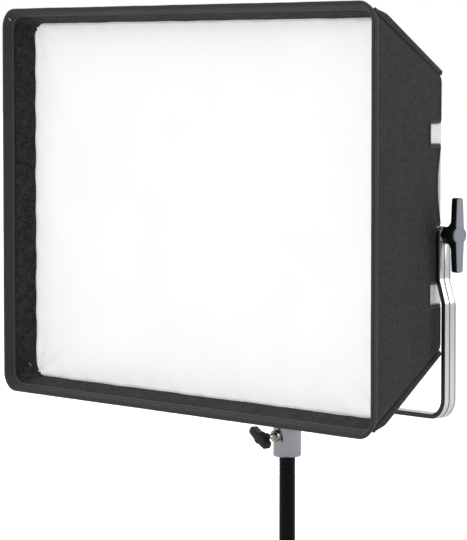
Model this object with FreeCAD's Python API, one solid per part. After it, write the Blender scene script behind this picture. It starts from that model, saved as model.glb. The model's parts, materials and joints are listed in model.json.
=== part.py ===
"""Studio softbox on a lighting panel, carried by a tilting yoke on the top tube of a light stand.

A tapered fabric shell with a recessed white diffuser is strapped round a flat LED panel. The panel tilts
in a U-shaped aluminium yoke, and the yoke turns on a 16 mm spigot. Units are millimetres. +X is to the
right as seen from behind the camera side, +Y points away from the lit side, +Z is up. The origin is the
centre of the stand tube's lower end.
"""
import FreeCAD, Part
import math
import os

V = FreeCAD.Vector
os.makedirs("parts", exist_ok=True)

# ---------------------------------------------------------------- driving dimensions
# softbox
FRONT_W = 750.0            # outer width of the front edge
FRONT_H = 520.0            # outer height of the front edge
SHELL_DEPTH = 199.0        # front edge to rear edge
FRONT_CORNER_R = 26.0
REAR_CORNER_R = 12.0
FABRIC_T = 2.0
REAR_GAP = 2.0             # panel to the shell's rear edge, all round
BINDING_LEN = 6.0          # tape folded over the rear edge
BINDING_T = 2.6
HEM_LEN = 13.0
HEM_T = 6.5
HEM_ROD_R = 2.0
LIP_DEPTH = 39.0           # front edge to the diffuser
LOOP_TAPE_T = 1.4
DIFFUSER_T = 1.0
BORDER_LEN = 18.0          # hook tape behind the diffuser's edge
BORDER_T = 1.2
RIB_SLEEVE_T = 4.4         # sleeve along each corner
RIB_SLEEVE_FRONT = 9.0
RIB_SLEEVE_REAR = 6.0
RIB_ROD_R = 1.4
STRAP_W = 25.0
STRAP_T = 1.2
STRAP_Z = 99.0             # strap centre, above and below the panel's centre
STRAP_LAP = 30.0           # how far each half passes the middle
STRAP_SEWN = 15.0          # length sewn inside the wall
STRAP_SLOT = 33.0          # depth of the cut-out that shows the strap
STRAP_SLOT_W = 27.0
STRAP_RAMP = 10.0          # run over which the upper half climbs on the lower one

# lighting panel
PANEL_W = 552.0
PANEL_H = 342.0
PANEL_D = 44.0
PANEL_CORNER_R = 10.0
PANEL_WALL = 3.0
PANEL_REAR_Y = 13.0        # measured from the tilt axis
SHELL_REAR_Y = 10.0
OPAL_T = 3.0
BEZEL_W = 9.0
BEZEL_T = 2.0
BOARD_T = 2.0
SPREADER_T = 3.0
LED_SIZE = 5.0
LED_T = 0.8
LED_COLUMNS = 14
LED_ROWS = 8
LED_SPREAD = 0.92          # share of the panel that the emitters cover
BOARD_DEPTH = 0.3          # share of the panel's depth in front of the board
BOARD_MARGIN = 6.0         # board's edge to the frame
STANDOFF_R = 4.0
STANDOFF_SPREAD = (0.40, 0.38)   # shares of the panel's width and height, from its centre
SCREW_INSET = 9.0
SCREW_R = 3.6
SCREW_H = 2.2
SCREW_SOCKET_R = 1.6
SCREW_SOCKET_D = 1.2
POD_W = 300.0              # control housing on the back
POD_D = 33.0
POD_WALL = 2.5
POD_CORNER_R = 8.0
POD_CHAMFER = 3.0
POD_CLEAR = 8.0            # housing to the straps
SUPPLY_SIZE = (176.0, 18.7, 92.0)
SUPPLY_PLACE = (-30.0, 4.0)      # its centre, from the housing's centre
COVER_T = 3.0
FIN_START = 16.0           # housing to the first fin
FIN_H = 4.0
FIN_T = 2.5
FIN_PITCH = 9.0
FIN_COUNT = 9
DIAL_R = 13.0
DIAL_H = 13.0
DIAL_CHAMFER = 1.2
DIAL_SHAFT_R = 3.0
DIAL_SHAFT_LEN = 4.0       # behind the housing's wall
BUTTON_R = 5.0
BUTTON_RISE = 2.0
BUTTON_SINK = 1.0          # reach behind the housing's wall
BUTTON_PITCH = 17.0
DISPLAY_W = 62.0
DISPLAY_H = 36.0
DISPLAY_SINK = 0.4
ROCKER_W = 14.0
ROCKER_H = 20.0
ROCKER_HIGH = 2.2          # raised end, above the housing
ROCKER_LOW = 0.4           # level end
ROCKER_DEPTH = 3.5
ROCKER_AXIS_DEPTH = 2.5
ROCKER_PIVOT_R = 2.6
INLET_W = 28.0
INLET_H = 20.0
INLET_D = 13.0
INLET_WALL = 2.5
INLET_SINK = 0.3
SOCKET_DEPTH = 11.0
PIN_LEN = 7.0
PIN_HALF = (1.0, 2.0)
PIN_PLACES = ((-7.0, -1.5), (0.0, 2.0), (7.0, -1.5))
# places on the housing's rear face, from its centre
DISPLAY_X = -62.0
CONTROL_Z = 22.0
DIAL_X = (28.0, 92.0)
BUTTON_X = tuple(DISPLAY_X + i * BUTTON_PITCH for i in (-1, 0, 1))
BUTTON_Z = -24.0
ROCKER_X = 92.0
INLET_X = 40.0
SOCKET_Z = -38.0

# yoke and tilt joint
YOKE_W = 21.0
YOKE_T = 6.0
YOKE_GROOVE_W = 1.4
YOKE_GROOVE_D = 0.9
YOKE_GROOVE_Y = -2.0
YOKE_LINE_W = 0.7          # fine groove near the rear edge
YOKE_LINE_D = 0.5
YOKE_LINE_Y = 7.0
YOKE_CHAMFER = 1.2
YOKE_CLEAR = 77.0          # panel's underside to the cross bar
YOKE_CORNER_R = 26.0       # outside
JOGGLE = 10.0              # the lower arms stand this much wider
JOGGLE_TOP = 56.0          # below the tilt axis
JOGGLE_LEN = 28.0
JOGGLE_BEND_R = 22.0
HEAD_RISE = 25.0           # panel's centre above the tilt axis
BOSS_R = 8.0
BOSS_LEN_LEAST = 14.0      # tilt boss, from the panel's side
ARM_CLEAR = 2.0            # from the fabric to the upper arm
NOTCH_GAP = 1.5
FRICTION_T = 2.5
FRICTION_R = 10.0
TILT_STUD_R = 4.0
RUNNING_GAP = 0.05
HOLE_GAP = 0.25
WASHER_T = 2.0
WASHER_R = 9.5
HANDLE_HALF = 46.0
HANDLE_HUB_R = 10.0
HANDLE_ROOT_W = 7.2        # half width of the bar beside the hub
HANDLE_TIP_W = 5.4
HANDLE_BAR_T = 10.0
HANDLE_REACH = 26.0        # arm's outer face to the handle's outer face
HANDLE_FILLET = 9.0
CAP_T = 1.2
CAP_INSET = 0.5
WING_ROUND = 0.6           # rounding of a wing's tip, as a share of its half width
HANDLE_STUD_GRIP = 6.0     # stud held in the handle
STUD_END = 2.0             # boss's root to the stud's inner end

# spigot receiver and stand tube
POST_R = 10.5
POST_WALL = 1.5
POST_LEN = 140.0
FACE_GAP = 0.3
SPIGOT_R = 8.0
SPIGOT_LEN = 50.0
SPIGOT_ROOT = 30.0
SPIGOT_GROOVE_D = 1.0
SPIGOT_GROOVE_LEN = 10.0
SPIGOT_CHAMFER = 1.5
RECEIVER_R = 18.5
RECEIVER_H = 75.0
RECEIVER_CHAMFER = 1.5
RECEIVER_BORE_LEN = 56.0
BOLT_R = 5.0
BOLT_HEAD_R = 8.5
BOLT_HEAD_H = 6.0
BOLT_SOCKET_R = 4.0
BOLT_SOCKET_D = 3.0
BOLT_WASHER_R = 10.0
BOLT_WASHER_T = 1.6
BORE_FLOOR = 3.0           # metal between the spigot's bore and the bolt's hole
LOCK_RISE = 28.0           # receiver's lower end to the lock screw
LOCK_STUD_R = 3.0
LOCK_BOSS_R = 7.5
LOCK_BOSS_LEN = 5.0
LOCK_INSERT_R = 4.6
LOCK_INSERT_LEN = 3.0
LOCK_NECK_R = 6.0
LOCK_NECK_LEN = 9.0
LOCK_NECK_TAPER = 0.8
LOCK_BAR_HALF = 19.0
LOCK_BAR_T = 9.0
LOCK_HUB_R = 8.0
LOCK_ROOT_W = 6.2
LOCK_TIP_W = 5.0
LOCK_TURN = 33.0           # degrees the wing stands off level
LOCK_REACH = 51.0          # receiver's axis to the wing's outer face
SHOE_T = 2.4
SHOE_GAP = 0.15
PLUG_LEN = 12.0
FIT_GAP = 0.05             # pieces fixed into each other
LAY_GAP = 0.2              # cloth laid on cloth
PAST = 1.0                 # how far a cutting shape runs past what it cuts

# ---------------------------------------------------------------- places worked out from them
RECEIVER_Z = POST_LEN + FACE_GAP
YOKE_Z = RECEIVER_Z + RECEIVER_H                  # underside of the cross bar
PIVOT_Z = YOKE_Z + YOKE_T + YOKE_CLEAR + PANEL_H / 2 - HEAD_RISE
HEAD_Z = PIVOT_Z + HEAD_RISE
FRONT_Y = SHELL_REAR_Y - SHELL_DEPTH
BINDING_Y = SHELL_REAR_Y - BINDING_LEN
HEM_Y = FRONT_Y + HEM_LEN
DIFFUSER_Y = FRONT_Y + LIP_DEPTH
PANEL_FRONT_Y = PANEL_REAR_Y - PANEL_D
COVER_Y = PANEL_REAR_Y - COVER_T
REAR_HALF_W = PANEL_W / 2 + REAR_GAP + FABRIC_T
REAR_HALF_H = PANEL_H / 2 + REAR_GAP + FABRIC_T
FABRIC_AT_ARM = FRONT_W / 2 + (REAR_HALF_W - FRONT_W / 2) * (-YOKE_W / 2 - FRONT_Y) / SHELL_DEPTH
BOSS_LEN = max(BOSS_LEN_LEAST, FABRIC_AT_ARM + ARM_CLEAR - FRICTION_T - PANEL_W / 2)
ARM_IN = PANEL_W / 2 + BOSS_LEN + FRICTION_T      # upper arm's inner face
ARM_OUT = ARM_IN + YOKE_T
POD_H = 2 * (STRAP_Z - STRAP_W / 2 - POD_CLEAR)
POD_Y = PANEL_REAR_Y + POD_D
LOCK_Z = RECEIVER_Z + LOCK_RISE


# ---------------------------------------------------------------- helpers
def save(name, *solids):
    """Write one node."""
    shape = solids[0] if len(solids) == 1 else Part.makeCompound(list(solids))
    assert shape.isValid(), name
    shape.exportStep(f"parts/{name}.step")


def block(x, y, z):
    """Box from three (low, high) pairs."""
    return Part.makeBox(x[1] - x[0], y[1] - y[0], z[1] - z[0], V(x[0], y[0], z[0]))


def cylinder(start, end, radius):
    """Cylinder between two points."""
    line = V(*end) - V(*start)
    return Part.makeCylinder(radius, line.Length, V(*start), line)


def mirrored(shape):
    """The same piece on the left."""
    return shape.mirror(V(0, 0, 0), V(1, 0, 0))


def rounded_rectangle(half_w, half_h, radius, y):
    """Closed wire in a plane across Y, centred on the head."""
    diagonal = radius * (1 - math.sqrt(0.5))
    edges = []
    for turn in range(4):
        w, h = (half_w, half_h) if turn % 2 == 0 else (half_h, half_w)

        def place(u, v, turn=turn):
            for _ in range(turn):
                u, v = -v, u
            return V(u, y, HEAD_Z + v)

        edges.append(Part.LineSegment(place(w, -h + radius), place(w, h - radius)).toShape())
        edges.append(Part.Arc(place(w, h - radius), place(w - diagonal, h - diagonal),
                              place(w - radius, h)).toShape())
    return Part.Wire(edges)


def tapered(ends):
    """Solid between two rounded rectangles, each (half_w, half_h, radius, y)."""
    return Part.makeLoft([rounded_rectangle(*end) for end in ends], True, True)


def wall_half(y, inset=0.0):
    """Half width, half height and corner radius of the softbox wall at depth y."""
    share = (y - FRONT_Y) / SHELL_DEPTH
    half_w = FRONT_W / 2 + (REAR_HALF_W - FRONT_W / 2) * share - inset
    half_h = FRONT_H / 2 + (REAR_HALF_H - FRONT_H / 2) * share - inset
    radius = FRONT_CORNER_R + (REAR_CORNER_R - FRONT_CORNER_R) * share - inset
    return half_w, half_h, radius


def tapered_band(y0, y1, outer, inner):
    """Ring that follows the wall from y0 to y1, between two insets."""
    skin = tapered([(*wall_half(y0, outer), y0), (*wall_half(y1, outer), y1)])
    core = tapered([(*wall_half(y, inner), y) for y in (y0 - PAST, y1 + PAST)])
    return skin.cut(core)


def between(front, rear):
    """Solid with flat faces between two matching outlines."""
    faces = [Part.Face(Part.makePolygon(outline + outline[:1])) for outline in (front, rear)]
    for i in range(len(front)):
        j = (i + 1) % len(front)
        faces.append(Part.Face(Part.makePolygon([front[i], front[j], rear[j], rear[i], front[i]])))
    solid = Part.makeSolid(Part.makeShell(faces))
    return solid if solid.Volume > 0 else solid.reversed()


def side_sector(side):
    """The quarter of the taper that belongs to one wall, cut on the corner lines."""
    reach = FRONT_CORNER_R + HEM_LEN
    outlines = []
    for y in (FRONT_Y - PAST, SHELL_REAR_Y + PAST):
        w, h, _ = wall_half(y)
        apex = w - h
        corners = {"right": [(apex, 0), (w + reach, -h - reach), (w + reach, h + reach)],
                   "top": [(apex, 0), (w + reach, h + reach), (-w - reach, h + reach), (-apex, 0)]}
        corners["left"] = [(-x, -z) for x, z in corners["right"]]
        corners["bottom"] = [(-x, -z) for x, z in corners["top"]]
        outlines.append([V(x, y, HEAD_Z + z) for x, z in corners[side]])
    return between(*outlines)


SIDES = ("top", "bottom", "left", "right")
SECTORS = {side: side_sector(side) for side in SIDES}


def four_pieces(ring):
    return [ring.common(SECTORS[side]).Solids[0] for side in SIDES]


def rear_openings():
    """Notches round the tilt bosses and cut-outs over the straps, open to the rear."""
    reach, radius = ARM_OUT + JOGGLE, BOSS_R + NOTCH_GAP
    inner = REAR_HALF_W - 2 * FABRIC_T
    rear = SHELL_REAR_Y + PAST
    cuts = [cylinder((-reach, 0, PIVOT_Z), (reach, 0, PIVOT_Z), radius),
            block((-reach, reach), (0, rear), (PIVOT_Z - radius, PIVOT_Z + radius))]
    slot = (SHELL_REAR_Y - STRAP_SLOT, rear)
    for z in (HEAD_Z - STRAP_Z, HEAD_Z + STRAP_Z):
        height = (z - STRAP_SLOT_W / 2, z + STRAP_SLOT_W / 2)
        cuts += [block(x, slot, height) for x in ((-reach, -inner), (inner, reach))]
    return cuts


def offset_path(points, distance):
    """The same open path, moved sideways with mitred corners."""
    moved = []
    for i, point in enumerate(points):
        before = (point - points[i - 1]).normalize() if i else None
        after = (points[i + 1] - point).normalize() if i < len(points) - 1 else None
        legs = [leg for leg in (before, after) if leg is not None]
        normals = [V(leg.y, -leg.x, 0) for leg in legs]
        bisector = sum(normals[1:], V(normals[0]))
        bisector.normalize()
        moved.append(point + bisector * (distance / bisector.dot(normals[0])))
    return moved


def ribbon(points, thickness, z0, z1):
    """Flat strap that follows a path in plan."""
    outline = points + offset_path(points, thickness)[::-1]
    face = Part.Face(Part.makePolygon([V(p.x, p.y, z0) for p in outline + outline[:1]]))
    return face.extrude(V(0, 0, z1 - z0))


def rounded_path(points, radii):
    """Wire of straight runs joined by tangent arcs."""
    edges = []
    start = points[0]
    for i in range(1, len(points) - 1):
        into = (points[i] - points[i - 1]).normalize()
        out = (points[i + 1] - points[i]).normalize()
        turn = into.getAngle(out)
        cut = radii[i - 1] * math.tan(turn / 2)
        a = points[i] - into * cut
        b = points[i] + out * cut
        middle = points[i] + (out - into).normalize() * (radii[i - 1] / math.cos(turn / 2) - radii[i - 1])
        edges += [Part.LineSegment(start, a).toShape(), Part.Arc(a, middle, b).toShape()]
        start = b
    edges.append(Part.LineSegment(start, points[-1]).toShape())
    return Part.Wire(edges)


def wing_outline(half, hub_r, root_w, tip_w):
    """Face of a T handle in plan, along the first axis: a round hub with two tapering wings."""
    tip_r = tip_w * WING_ROUND
    root = math.sqrt(hub_r ** 2 - root_w ** 2)
    wings = []
    for way in (1, -1):
        corners = [V(0, -root_w, 0), V(way * root, -root_w, 0), V(way * half, -tip_w, 0),
                   V(way * half, tip_w, 0), V(way * root, root_w, 0), V(0, root_w, 0)]
        wing = Part.Face(Part.makePolygon(corners + corners[:1])).extrude(V(0, 0, 1))
        tips = [e for e in wing.Edges
                if all(abs(abs(v.X) - half) < 1e-6 for v in e.Vertexes)
                and abs(e.Vertexes[0].Z - e.Vertexes[-1].Z) > 0.5]
        wings.append(wing.makeFillet(tip_r, tips))
    hub = Part.makeCylinder(hub_r, 1)
    flat = hub.fuse(wings).removeSplitter()
    low = min(flat.Faces, key=lambda f: f.CenterOfMass.z)
    return Part.Face(low.OuterWire)


def plate(face, low, high, matrix):
    """Extrude a plan outline from one height to another and put it in place."""
    solid = face.extrude(V(0, 0, high - low))
    solid.translate(V(0, 0, low))
    return solid.transformGeometry(matrix) if matrix else solid


# ---------------------------------------------------------------- softbox
def softbox_walls():
    shell = tapered_band(HEM_Y, BINDING_Y, 0, FABRIC_T).cut(rear_openings())
    for side, piece in zip(SIDES, four_pieces(shell)):
        save(f"wall_{side}", piece)


def front_hem():
    """Folded edge with a spring rod in it."""
    y = (FRONT_Y + HEM_Y) / 2
    half_w, half_h, radius = wall_half(y, HEM_T / 2)
    path = rounded_rectangle(half_w, half_h, radius, y)
    start = V(half_w, y, HEAD_Z - half_h + radius)

    def rod(thickness):
        circle = Part.Wire(Part.makeCircle(thickness, start, V(0, 0, 1)))
        return path.makePipeShell([circle], True, False)

    save("front_hem", tapered_band(FRONT_Y, HEM_Y, 0, HEM_T).cut(rod(HEM_ROD_R + LAY_GAP)))
    save("front_hem_rod", rod(HEM_ROD_R))


def loop_tapes():
    skin = FABRIC_T + LAY_GAP
    save("loop_tapes", *four_pieces(tapered_band(HEM_Y, DIFFUSER_Y, skin, skin + LOOP_TAPE_T)))


def diffuser():
    inset = FABRIC_T + LAY_GAP
    rear = DIFFUSER_Y + DIFFUSER_T
    save("front_diffuser", tapered([(*wall_half(y, inset), y) for y in (DIFFUSER_Y, rear)]))
    save("diffuser_border", *four_pieces(tapered_band(rear, rear + BORDER_LEN, inset, inset + BORDER_T)))


def corner_ribs():
    """A sleeve sewn along each corner, with a rod in it."""
    sleeves, rods = [], []
    for sx in (1, -1):
        for sz in (1, -1):
            out = V(sx, 0, sz).normalize()
            across = V(sx, 0, -sz).normalize() * (RIB_SLEEVE_T / 2)
            outlines, centres = [], []
            for y, height in ((HEM_Y, RIB_SLEEVE_FRONT), (SHELL_REAR_Y, RIB_SLEEVE_REAR)):
                w, h, r = wall_half(y)
                inward = r * (1 - math.sqrt(0.5)) - LAY_GAP
                base = V(sx * (w - inward), y, HEAD_Z + sz * (h - inward))
                tip = base + out * height
                outlines.append([base + across, tip + across, tip - across, base - across])
                centres.append(base + out * (height / 2))
            line = centres[1] - centres[0]
            past = V(line).normalize() * (3 * PAST)
            bore = Part.makeCylinder(RIB_ROD_R + LAY_GAP, line.Length + 2 * past.Length,
                                     centres[0] - past, line)
            sleeves.append(between(*outlines).cut(bore))
            rods.append(Part.makeCylinder(RIB_ROD_R, line.Length, centres[0], line))
    save("corner_sleeves", *sleeves)
    save("corner_rods", *rods)


def rear_binding():
    """Tape folded over the rear edge, in the lengths that the openings leave."""
    band = tapered_band(BINDING_Y, SHELL_REAR_Y, 0, BINDING_T).cut(rear_openings())
    save("rear_binding", *band.Solids)


def straps():
    """Two webbing straps across the back, each in two halves that lap at the middle."""
    side = PANEL_W / 2 + FACE_GAP
    back = PANEL_REAR_Y + FACE_GAP
    slot_y = SHELL_REAR_Y - STRAP_SLOT
    under_cloth = BINDING_T + LAY_GAP + STRAP_T
    lap = STRAP_T + LAY_GAP
    wrap = [V(wall_half(y, under_cloth)[0], y, 0) for y in (slot_y - STRAP_SEWN, slot_y)]
    wrap.append(V(side, back, 0))
    over = wrap + [V(STRAP_LAP + STRAP_RAMP, back, 0), V(STRAP_LAP, back + lap, 0),
                   V(-STRAP_LAP, back + lap, 0)]
    under = wrap + [V(-STRAP_LAP, back, 0)]
    for level, z in (("upper", HEAD_Z + STRAP_Z), ("lower", HEAD_Z - STRAP_Z)):
        z0, z1 = z - STRAP_W / 2, z + STRAP_W / 2
        save(f"strap_{level}_right", ribbon(over, STRAP_T, z0, z1))
        save(f"strap_{level}_left", mirrored(ribbon(under, STRAP_T, z0, z1)))


# ---------------------------------------------------------------- lighting panel
def panel_outline(y0, y1, inset=0.0):
    half_w, half_h = PANEL_W / 2 - inset, PANEL_H / 2 - inset
    return tapered([(half_w, half_h, PANEL_CORNER_R - inset, y) for y in (y0, y1)])


def panel_shell():
    frame = panel_outline(PANEL_FRONT_Y + BEZEL_T, COVER_Y).cut(
        panel_outline(PANEL_FRONT_Y, COVER_Y + PAST, PANEL_WALL))
    save("panel_frame", frame)
    bezel = panel_outline(PANEL_FRONT_Y, PANEL_FRONT_Y + BEZEL_T).cut(
        panel_outline(PANEL_FRONT_Y - PAST, PANEL_FRONT_Y + BEZEL_T + PAST, BEZEL_W))
    save("front_bezel", bezel)


def back_cover():
    cover = panel_outline(COVER_Y, PANEL_REAR_Y)
    first = POD_W / 2 + FIN_START
    fins = []
    for sx in (1, -1):
        for i in range(FIN_COUNT):
            x = sx * (first + i * FIN_PITCH)
            fins.append(block((x - FIN_T / 2, x + FIN_T / 2), (PANEL_REAR_Y, PANEL_REAR_Y + FIN_H),
                              (HEAD_Z - POD_H / 2, HEAD_Z + POD_H / 2)))
    save("back_cover", cover.fuse(fins).removeSplitter())


def light_engine():
    """Opal plate, LED board with its emitters, and the heat spreader behind it."""
    inside = PANEL_WALL + LAY_GAP
    opal_y = PANEL_FRONT_Y + BEZEL_T
    save("opal_plate", panel_outline(opal_y, opal_y + OPAL_T, inside))
    board_y = PANEL_FRONT_Y + PANEL_D * BOARD_DEPTH
    edge = inside + BOARD_MARGIN
    save("led_board", panel_outline(board_y, board_y + BOARD_T, edge))
    save("heat_spreader", panel_outline(board_y + BOARD_T, board_y + BOARD_T + SPREADER_T, edge))
    emitters = []
    for column in range(LED_COLUMNS):
        x = PANEL_W * ((column + 0.5) / LED_COLUMNS - 0.5) * LED_SPREAD
        for row in range(LED_ROWS):
            z = HEAD_Z + PANEL_H * ((row + 0.5) / LED_ROWS - 0.5) * LED_SPREAD
            emitters.append(block((x - LED_SIZE / 2, x + LED_SIZE / 2), (board_y - LED_T, board_y),
                                  (z - LED_SIZE / 2, z + LED_SIZE / 2)))
    save("led_emitters", *emitters)
    low = board_y + BOARD_T + SPREADER_T
    off_x, off_z = PANEL_W * STANDOFF_SPREAD[0], PANEL_H * STANDOFF_SPREAD[1]
    standoffs = [cylinder((x, low, HEAD_Z + z), (x, COVER_Y, HEAD_Z + z), STANDOFF_R)
                 for x in (-off_x, off_x) for z in (-off_z, off_z)]
    save("board_standoffs", *standoffs)


def on_pod(x, z, half_w, half_h, y0, y1):
    return block((x - half_w, x + half_w), (y0, y1), (HEAD_Z + z - half_h, HEAD_Z + z + half_h))


def control_pod():
    """Housing for the power supply, with the controls on its rear face."""
    half_w, half_h = POD_W / 2, POD_H / 2
    outer = block((-half_w, half_w), (PANEL_REAR_Y, POD_Y), (HEAD_Z - half_h, HEAD_Z + half_h))
    upright = [e for e in outer.Edges if abs(e.Vertexes[0].Y - e.Vertexes[-1].Y) > 1]
    outer = outer.makeFillet(POD_CORNER_R, upright)
    rim = [e for e in outer.Edges if all(abs(v.Y - POD_Y) < 1e-6 for v in e.Vertexes)]
    outer = outer.makeChamfer(POD_CHAMFER, rim)
    inner = block((-half_w + POD_WALL, half_w - POD_WALL), (PANEL_REAR_Y - PAST, POD_Y - POD_WALL),
                  (HEAD_Z - half_h + POD_WALL, HEAD_Z + half_h - POD_WALL))
    pod = outer.cut(inner)
    rear = (POD_Y - POD_WALL - PAST, POD_Y + PAST)
    pod = pod.cut(on_pod(DISPLAY_X, CONTROL_Z, DISPLAY_W / 2 + FACE_GAP, DISPLAY_H / 2 + FACE_GAP, *rear))
    slack = 2 * HOLE_GAP
    pod = pod.cut(on_pod(ROCKER_X, SOCKET_Z, ROCKER_W / 2 + slack, ROCKER_H / 2 + slack, *rear))
    pod = pod.cut(on_pod(INLET_X, SOCKET_Z, INLET_W / 2 + FACE_GAP, INLET_H / 2 + FACE_GAP, *rear))
    for x in BUTTON_X:
        pod = pod.cut(cylinder((x, rear[0], HEAD_Z + BUTTON_Z), (x, rear[1], HEAD_Z + BUTTON_Z),
                               BUTTON_R + HOLE_GAP))
    for x in DIAL_X:
        pod = pod.cut(cylinder((x, rear[0], HEAD_Z + CONTROL_Z), (x, rear[1], HEAD_Z + CONTROL_Z),
                               DIAL_SHAFT_R + HOLE_GAP))
    save("control_pod", pod)
    save("display_window", on_pod(DISPLAY_X, CONTROL_Z, DISPLAY_W / 2, DISPLAY_H / 2,
                                  POD_Y - POD_WALL, POD_Y - DISPLAY_SINK))
    supply_y = PANEL_REAR_Y + FACE_GAP
    save("power_supply", on_pod(*SUPPLY_PLACE, SUPPLY_SIZE[0] / 2, SUPPLY_SIZE[2] / 2,
                                supply_y, supply_y + SUPPLY_SIZE[1]))


def dials():
    for name, x in zip(("dial_brightness", "dial_colour"), DIAL_X):
        z = HEAD_Z + CONTROL_Z
        knob = cylinder((x, POD_Y + FACE_GAP, z), (x, POD_Y + DIAL_H, z), DIAL_R)
        rim = [e for e in knob.Edges if abs(e.CenterOfMass.y - POD_Y - DIAL_H) < 1e-6
               and e.Length > DIAL_R]
        knob = knob.makeChamfer(DIAL_CHAMFER, rim)
        shaft_end = POD_Y - POD_WALL - DIAL_SHAFT_LEN
        shaft = cylinder((x, shaft_end, z), (x, POD_Y + FACE_GAP, z), DIAL_SHAFT_R)
        save(name, knob.fuse(shaft).removeSplitter())


def buttons():
    for name, x in zip(("button_menu", "button_mode", "button_back"), BUTTON_X):
        z = HEAD_Z + BUTTON_Z
        low = POD_Y - POD_WALL - BUTTON_SINK
        save(name, cylinder((x, low, z), (x, POD_Y + BUTTON_RISE, z), BUTTON_R))


def power_entry():
    """Rocker switch and mains inlet."""
    z = HEAD_Z + SOCKET_Z
    half_h = ROCKER_H / 2
    low = POD_Y - ROCKER_DEPTH
    profile = [V(0, low, z - half_h), V(0, POD_Y + ROCKER_HIGH, z - half_h), V(0, POD_Y + ROCKER_LOW, z),
               V(0, POD_Y + ROCKER_LOW, z + half_h), V(0, low, z + half_h)]
    rocker = Part.Face(Part.makePolygon(profile + profile[:1])).extrude(V(ROCKER_W, 0, 0))
    rocker.translate(V(ROCKER_X - ROCKER_W / 2, 0, 0))
    axis_y = POD_Y - ROCKER_AXIS_DEPTH
    pivot = cylinder((ROCKER_X - ROCKER_W / 2, axis_y, z), (ROCKER_X + ROCKER_W / 2, axis_y, z),
                     ROCKER_PIVOT_R)
    save("power_rocker", rocker.fuse(pivot))
    floor = POD_Y - SOCKET_DEPTH
    inlet = on_pod(INLET_X, SOCKET_Z, INLET_W / 2, INLET_H / 2, POD_Y - INLET_D, POD_Y - INLET_SINK)
    recess = on_pod(INLET_X, SOCKET_Z, INLET_W / 2 - INLET_WALL, INLET_H / 2 - INLET_WALL, floor, POD_Y)
    pins = [on_pod(INLET_X + dx, SOCKET_Z + dz, *PIN_HALF, floor, floor + PIN_LEN) for dx, dz in PIN_PLACES]
    save("mains_inlet", inlet.cut(recess).fuse(pins).removeSplitter())


def cover_screws():
    """Button-head screws round the back cover."""
    edge = PANEL_W / 2 - SCREW_INSET
    top = PANEL_REAR_Y + SCREW_H
    screws = []
    for x in (-edge, -PANEL_W / 6, PANEL_W / 6, edge):
        for z in (HEAD_Z - PANEL_H / 2 + SCREW_INSET, HEAD_Z + PANEL_H / 2 - SCREW_INSET):
            head = cylinder((x, PANEL_REAR_Y, z), (x, top, z), SCREW_R)
            drive = cylinder((x, top - SCREW_SOCKET_D, z), (x, top + PAST, z), SCREW_SOCKET_R)
            screws.append(head.cut(drive))
    save("cover_screws", *screws)


# ---------------------------------------------------------------- yoke and tilt joint
def yoke():
    """Grooved flat bar bent into a U, with a small outward joggle in each arm."""
    upper = ARM_IN + YOKE_T / 2
    lower = upper + JOGGLE
    base = YOKE_Z + YOKE_T / 2
    top = PIVOT_Z + YOKE_W / 2
    right = [(upper, top), (upper, PIVOT_Z - JOGGLE_TOP), (lower, PIVOT_Z - JOGGLE_TOP - JOGGLE_LEN),
             (lower, base)]
    points = [V(x, 0, z) for x, z in right] + [V(-x, 0, z) for x, z in right[::-1]]
    corner = YOKE_CORNER_R - YOKE_T / 2
    joggle = [JOGGLE_BEND_R, JOGGLE_BEND_R]
    path = rounded_path(points, joggle + [corner, corner] + joggle)
    half, outer, inner = YOKE_W / 2, ARM_OUT, ARM_IN
    c = YOKE_CHAMFER
    section = [(inner, -half), (outer - c, -half), (outer, -half + c)]
    for y, width, depth in ((YOKE_GROOVE_Y, YOKE_GROOVE_W, YOKE_GROOVE_D),
                            (YOKE_LINE_Y, YOKE_LINE_W, YOKE_LINE_D)):
        section += [(outer, y - width / 2), (outer - depth, y), (outer, y + width / 2)]
    section += [(outer, half - c), (outer - c, half), (inner, half)]
    wire = Part.makePolygon([V(x, y, top) for x, y in section + section[:1]])
    bar = path.makePipeShell([wire], True, False)
    reach = ARM_OUT + PAST
    tip = block((-reach, reach), (-half - PAST, half + PAST), (PIVOT_Z, top + PAST))
    round_end = cylinder((-reach - PAST, 0, PIVOT_Z), (reach + PAST, 0, PIVOT_Z), half)
    bar = bar.cut(tip.cut(round_end))
    bar = bar.cut(cylinder((-reach, 0, PIVOT_Z), (reach, 0, PIVOT_Z), TILT_STUD_R + HOLE_GAP))
    bar = bar.cut(cylinder((0, 0, YOKE_Z - PAST), (0, 0, YOKE_Z + YOKE_T + PAST), BOLT_R + HOLE_GAP))
    save("yoke_bar", bar)


def disc(x0, x1, radius, hole):
    """Ring on the tilt axis."""
    return cylinder((x0, 0, PIVOT_Z), (x1, 0, PIVOT_Z), radius).cut(
        cylinder((x0 - PAST, 0, PIVOT_Z), (x1 + PAST, 0, PIVOT_Z), hole))


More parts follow.
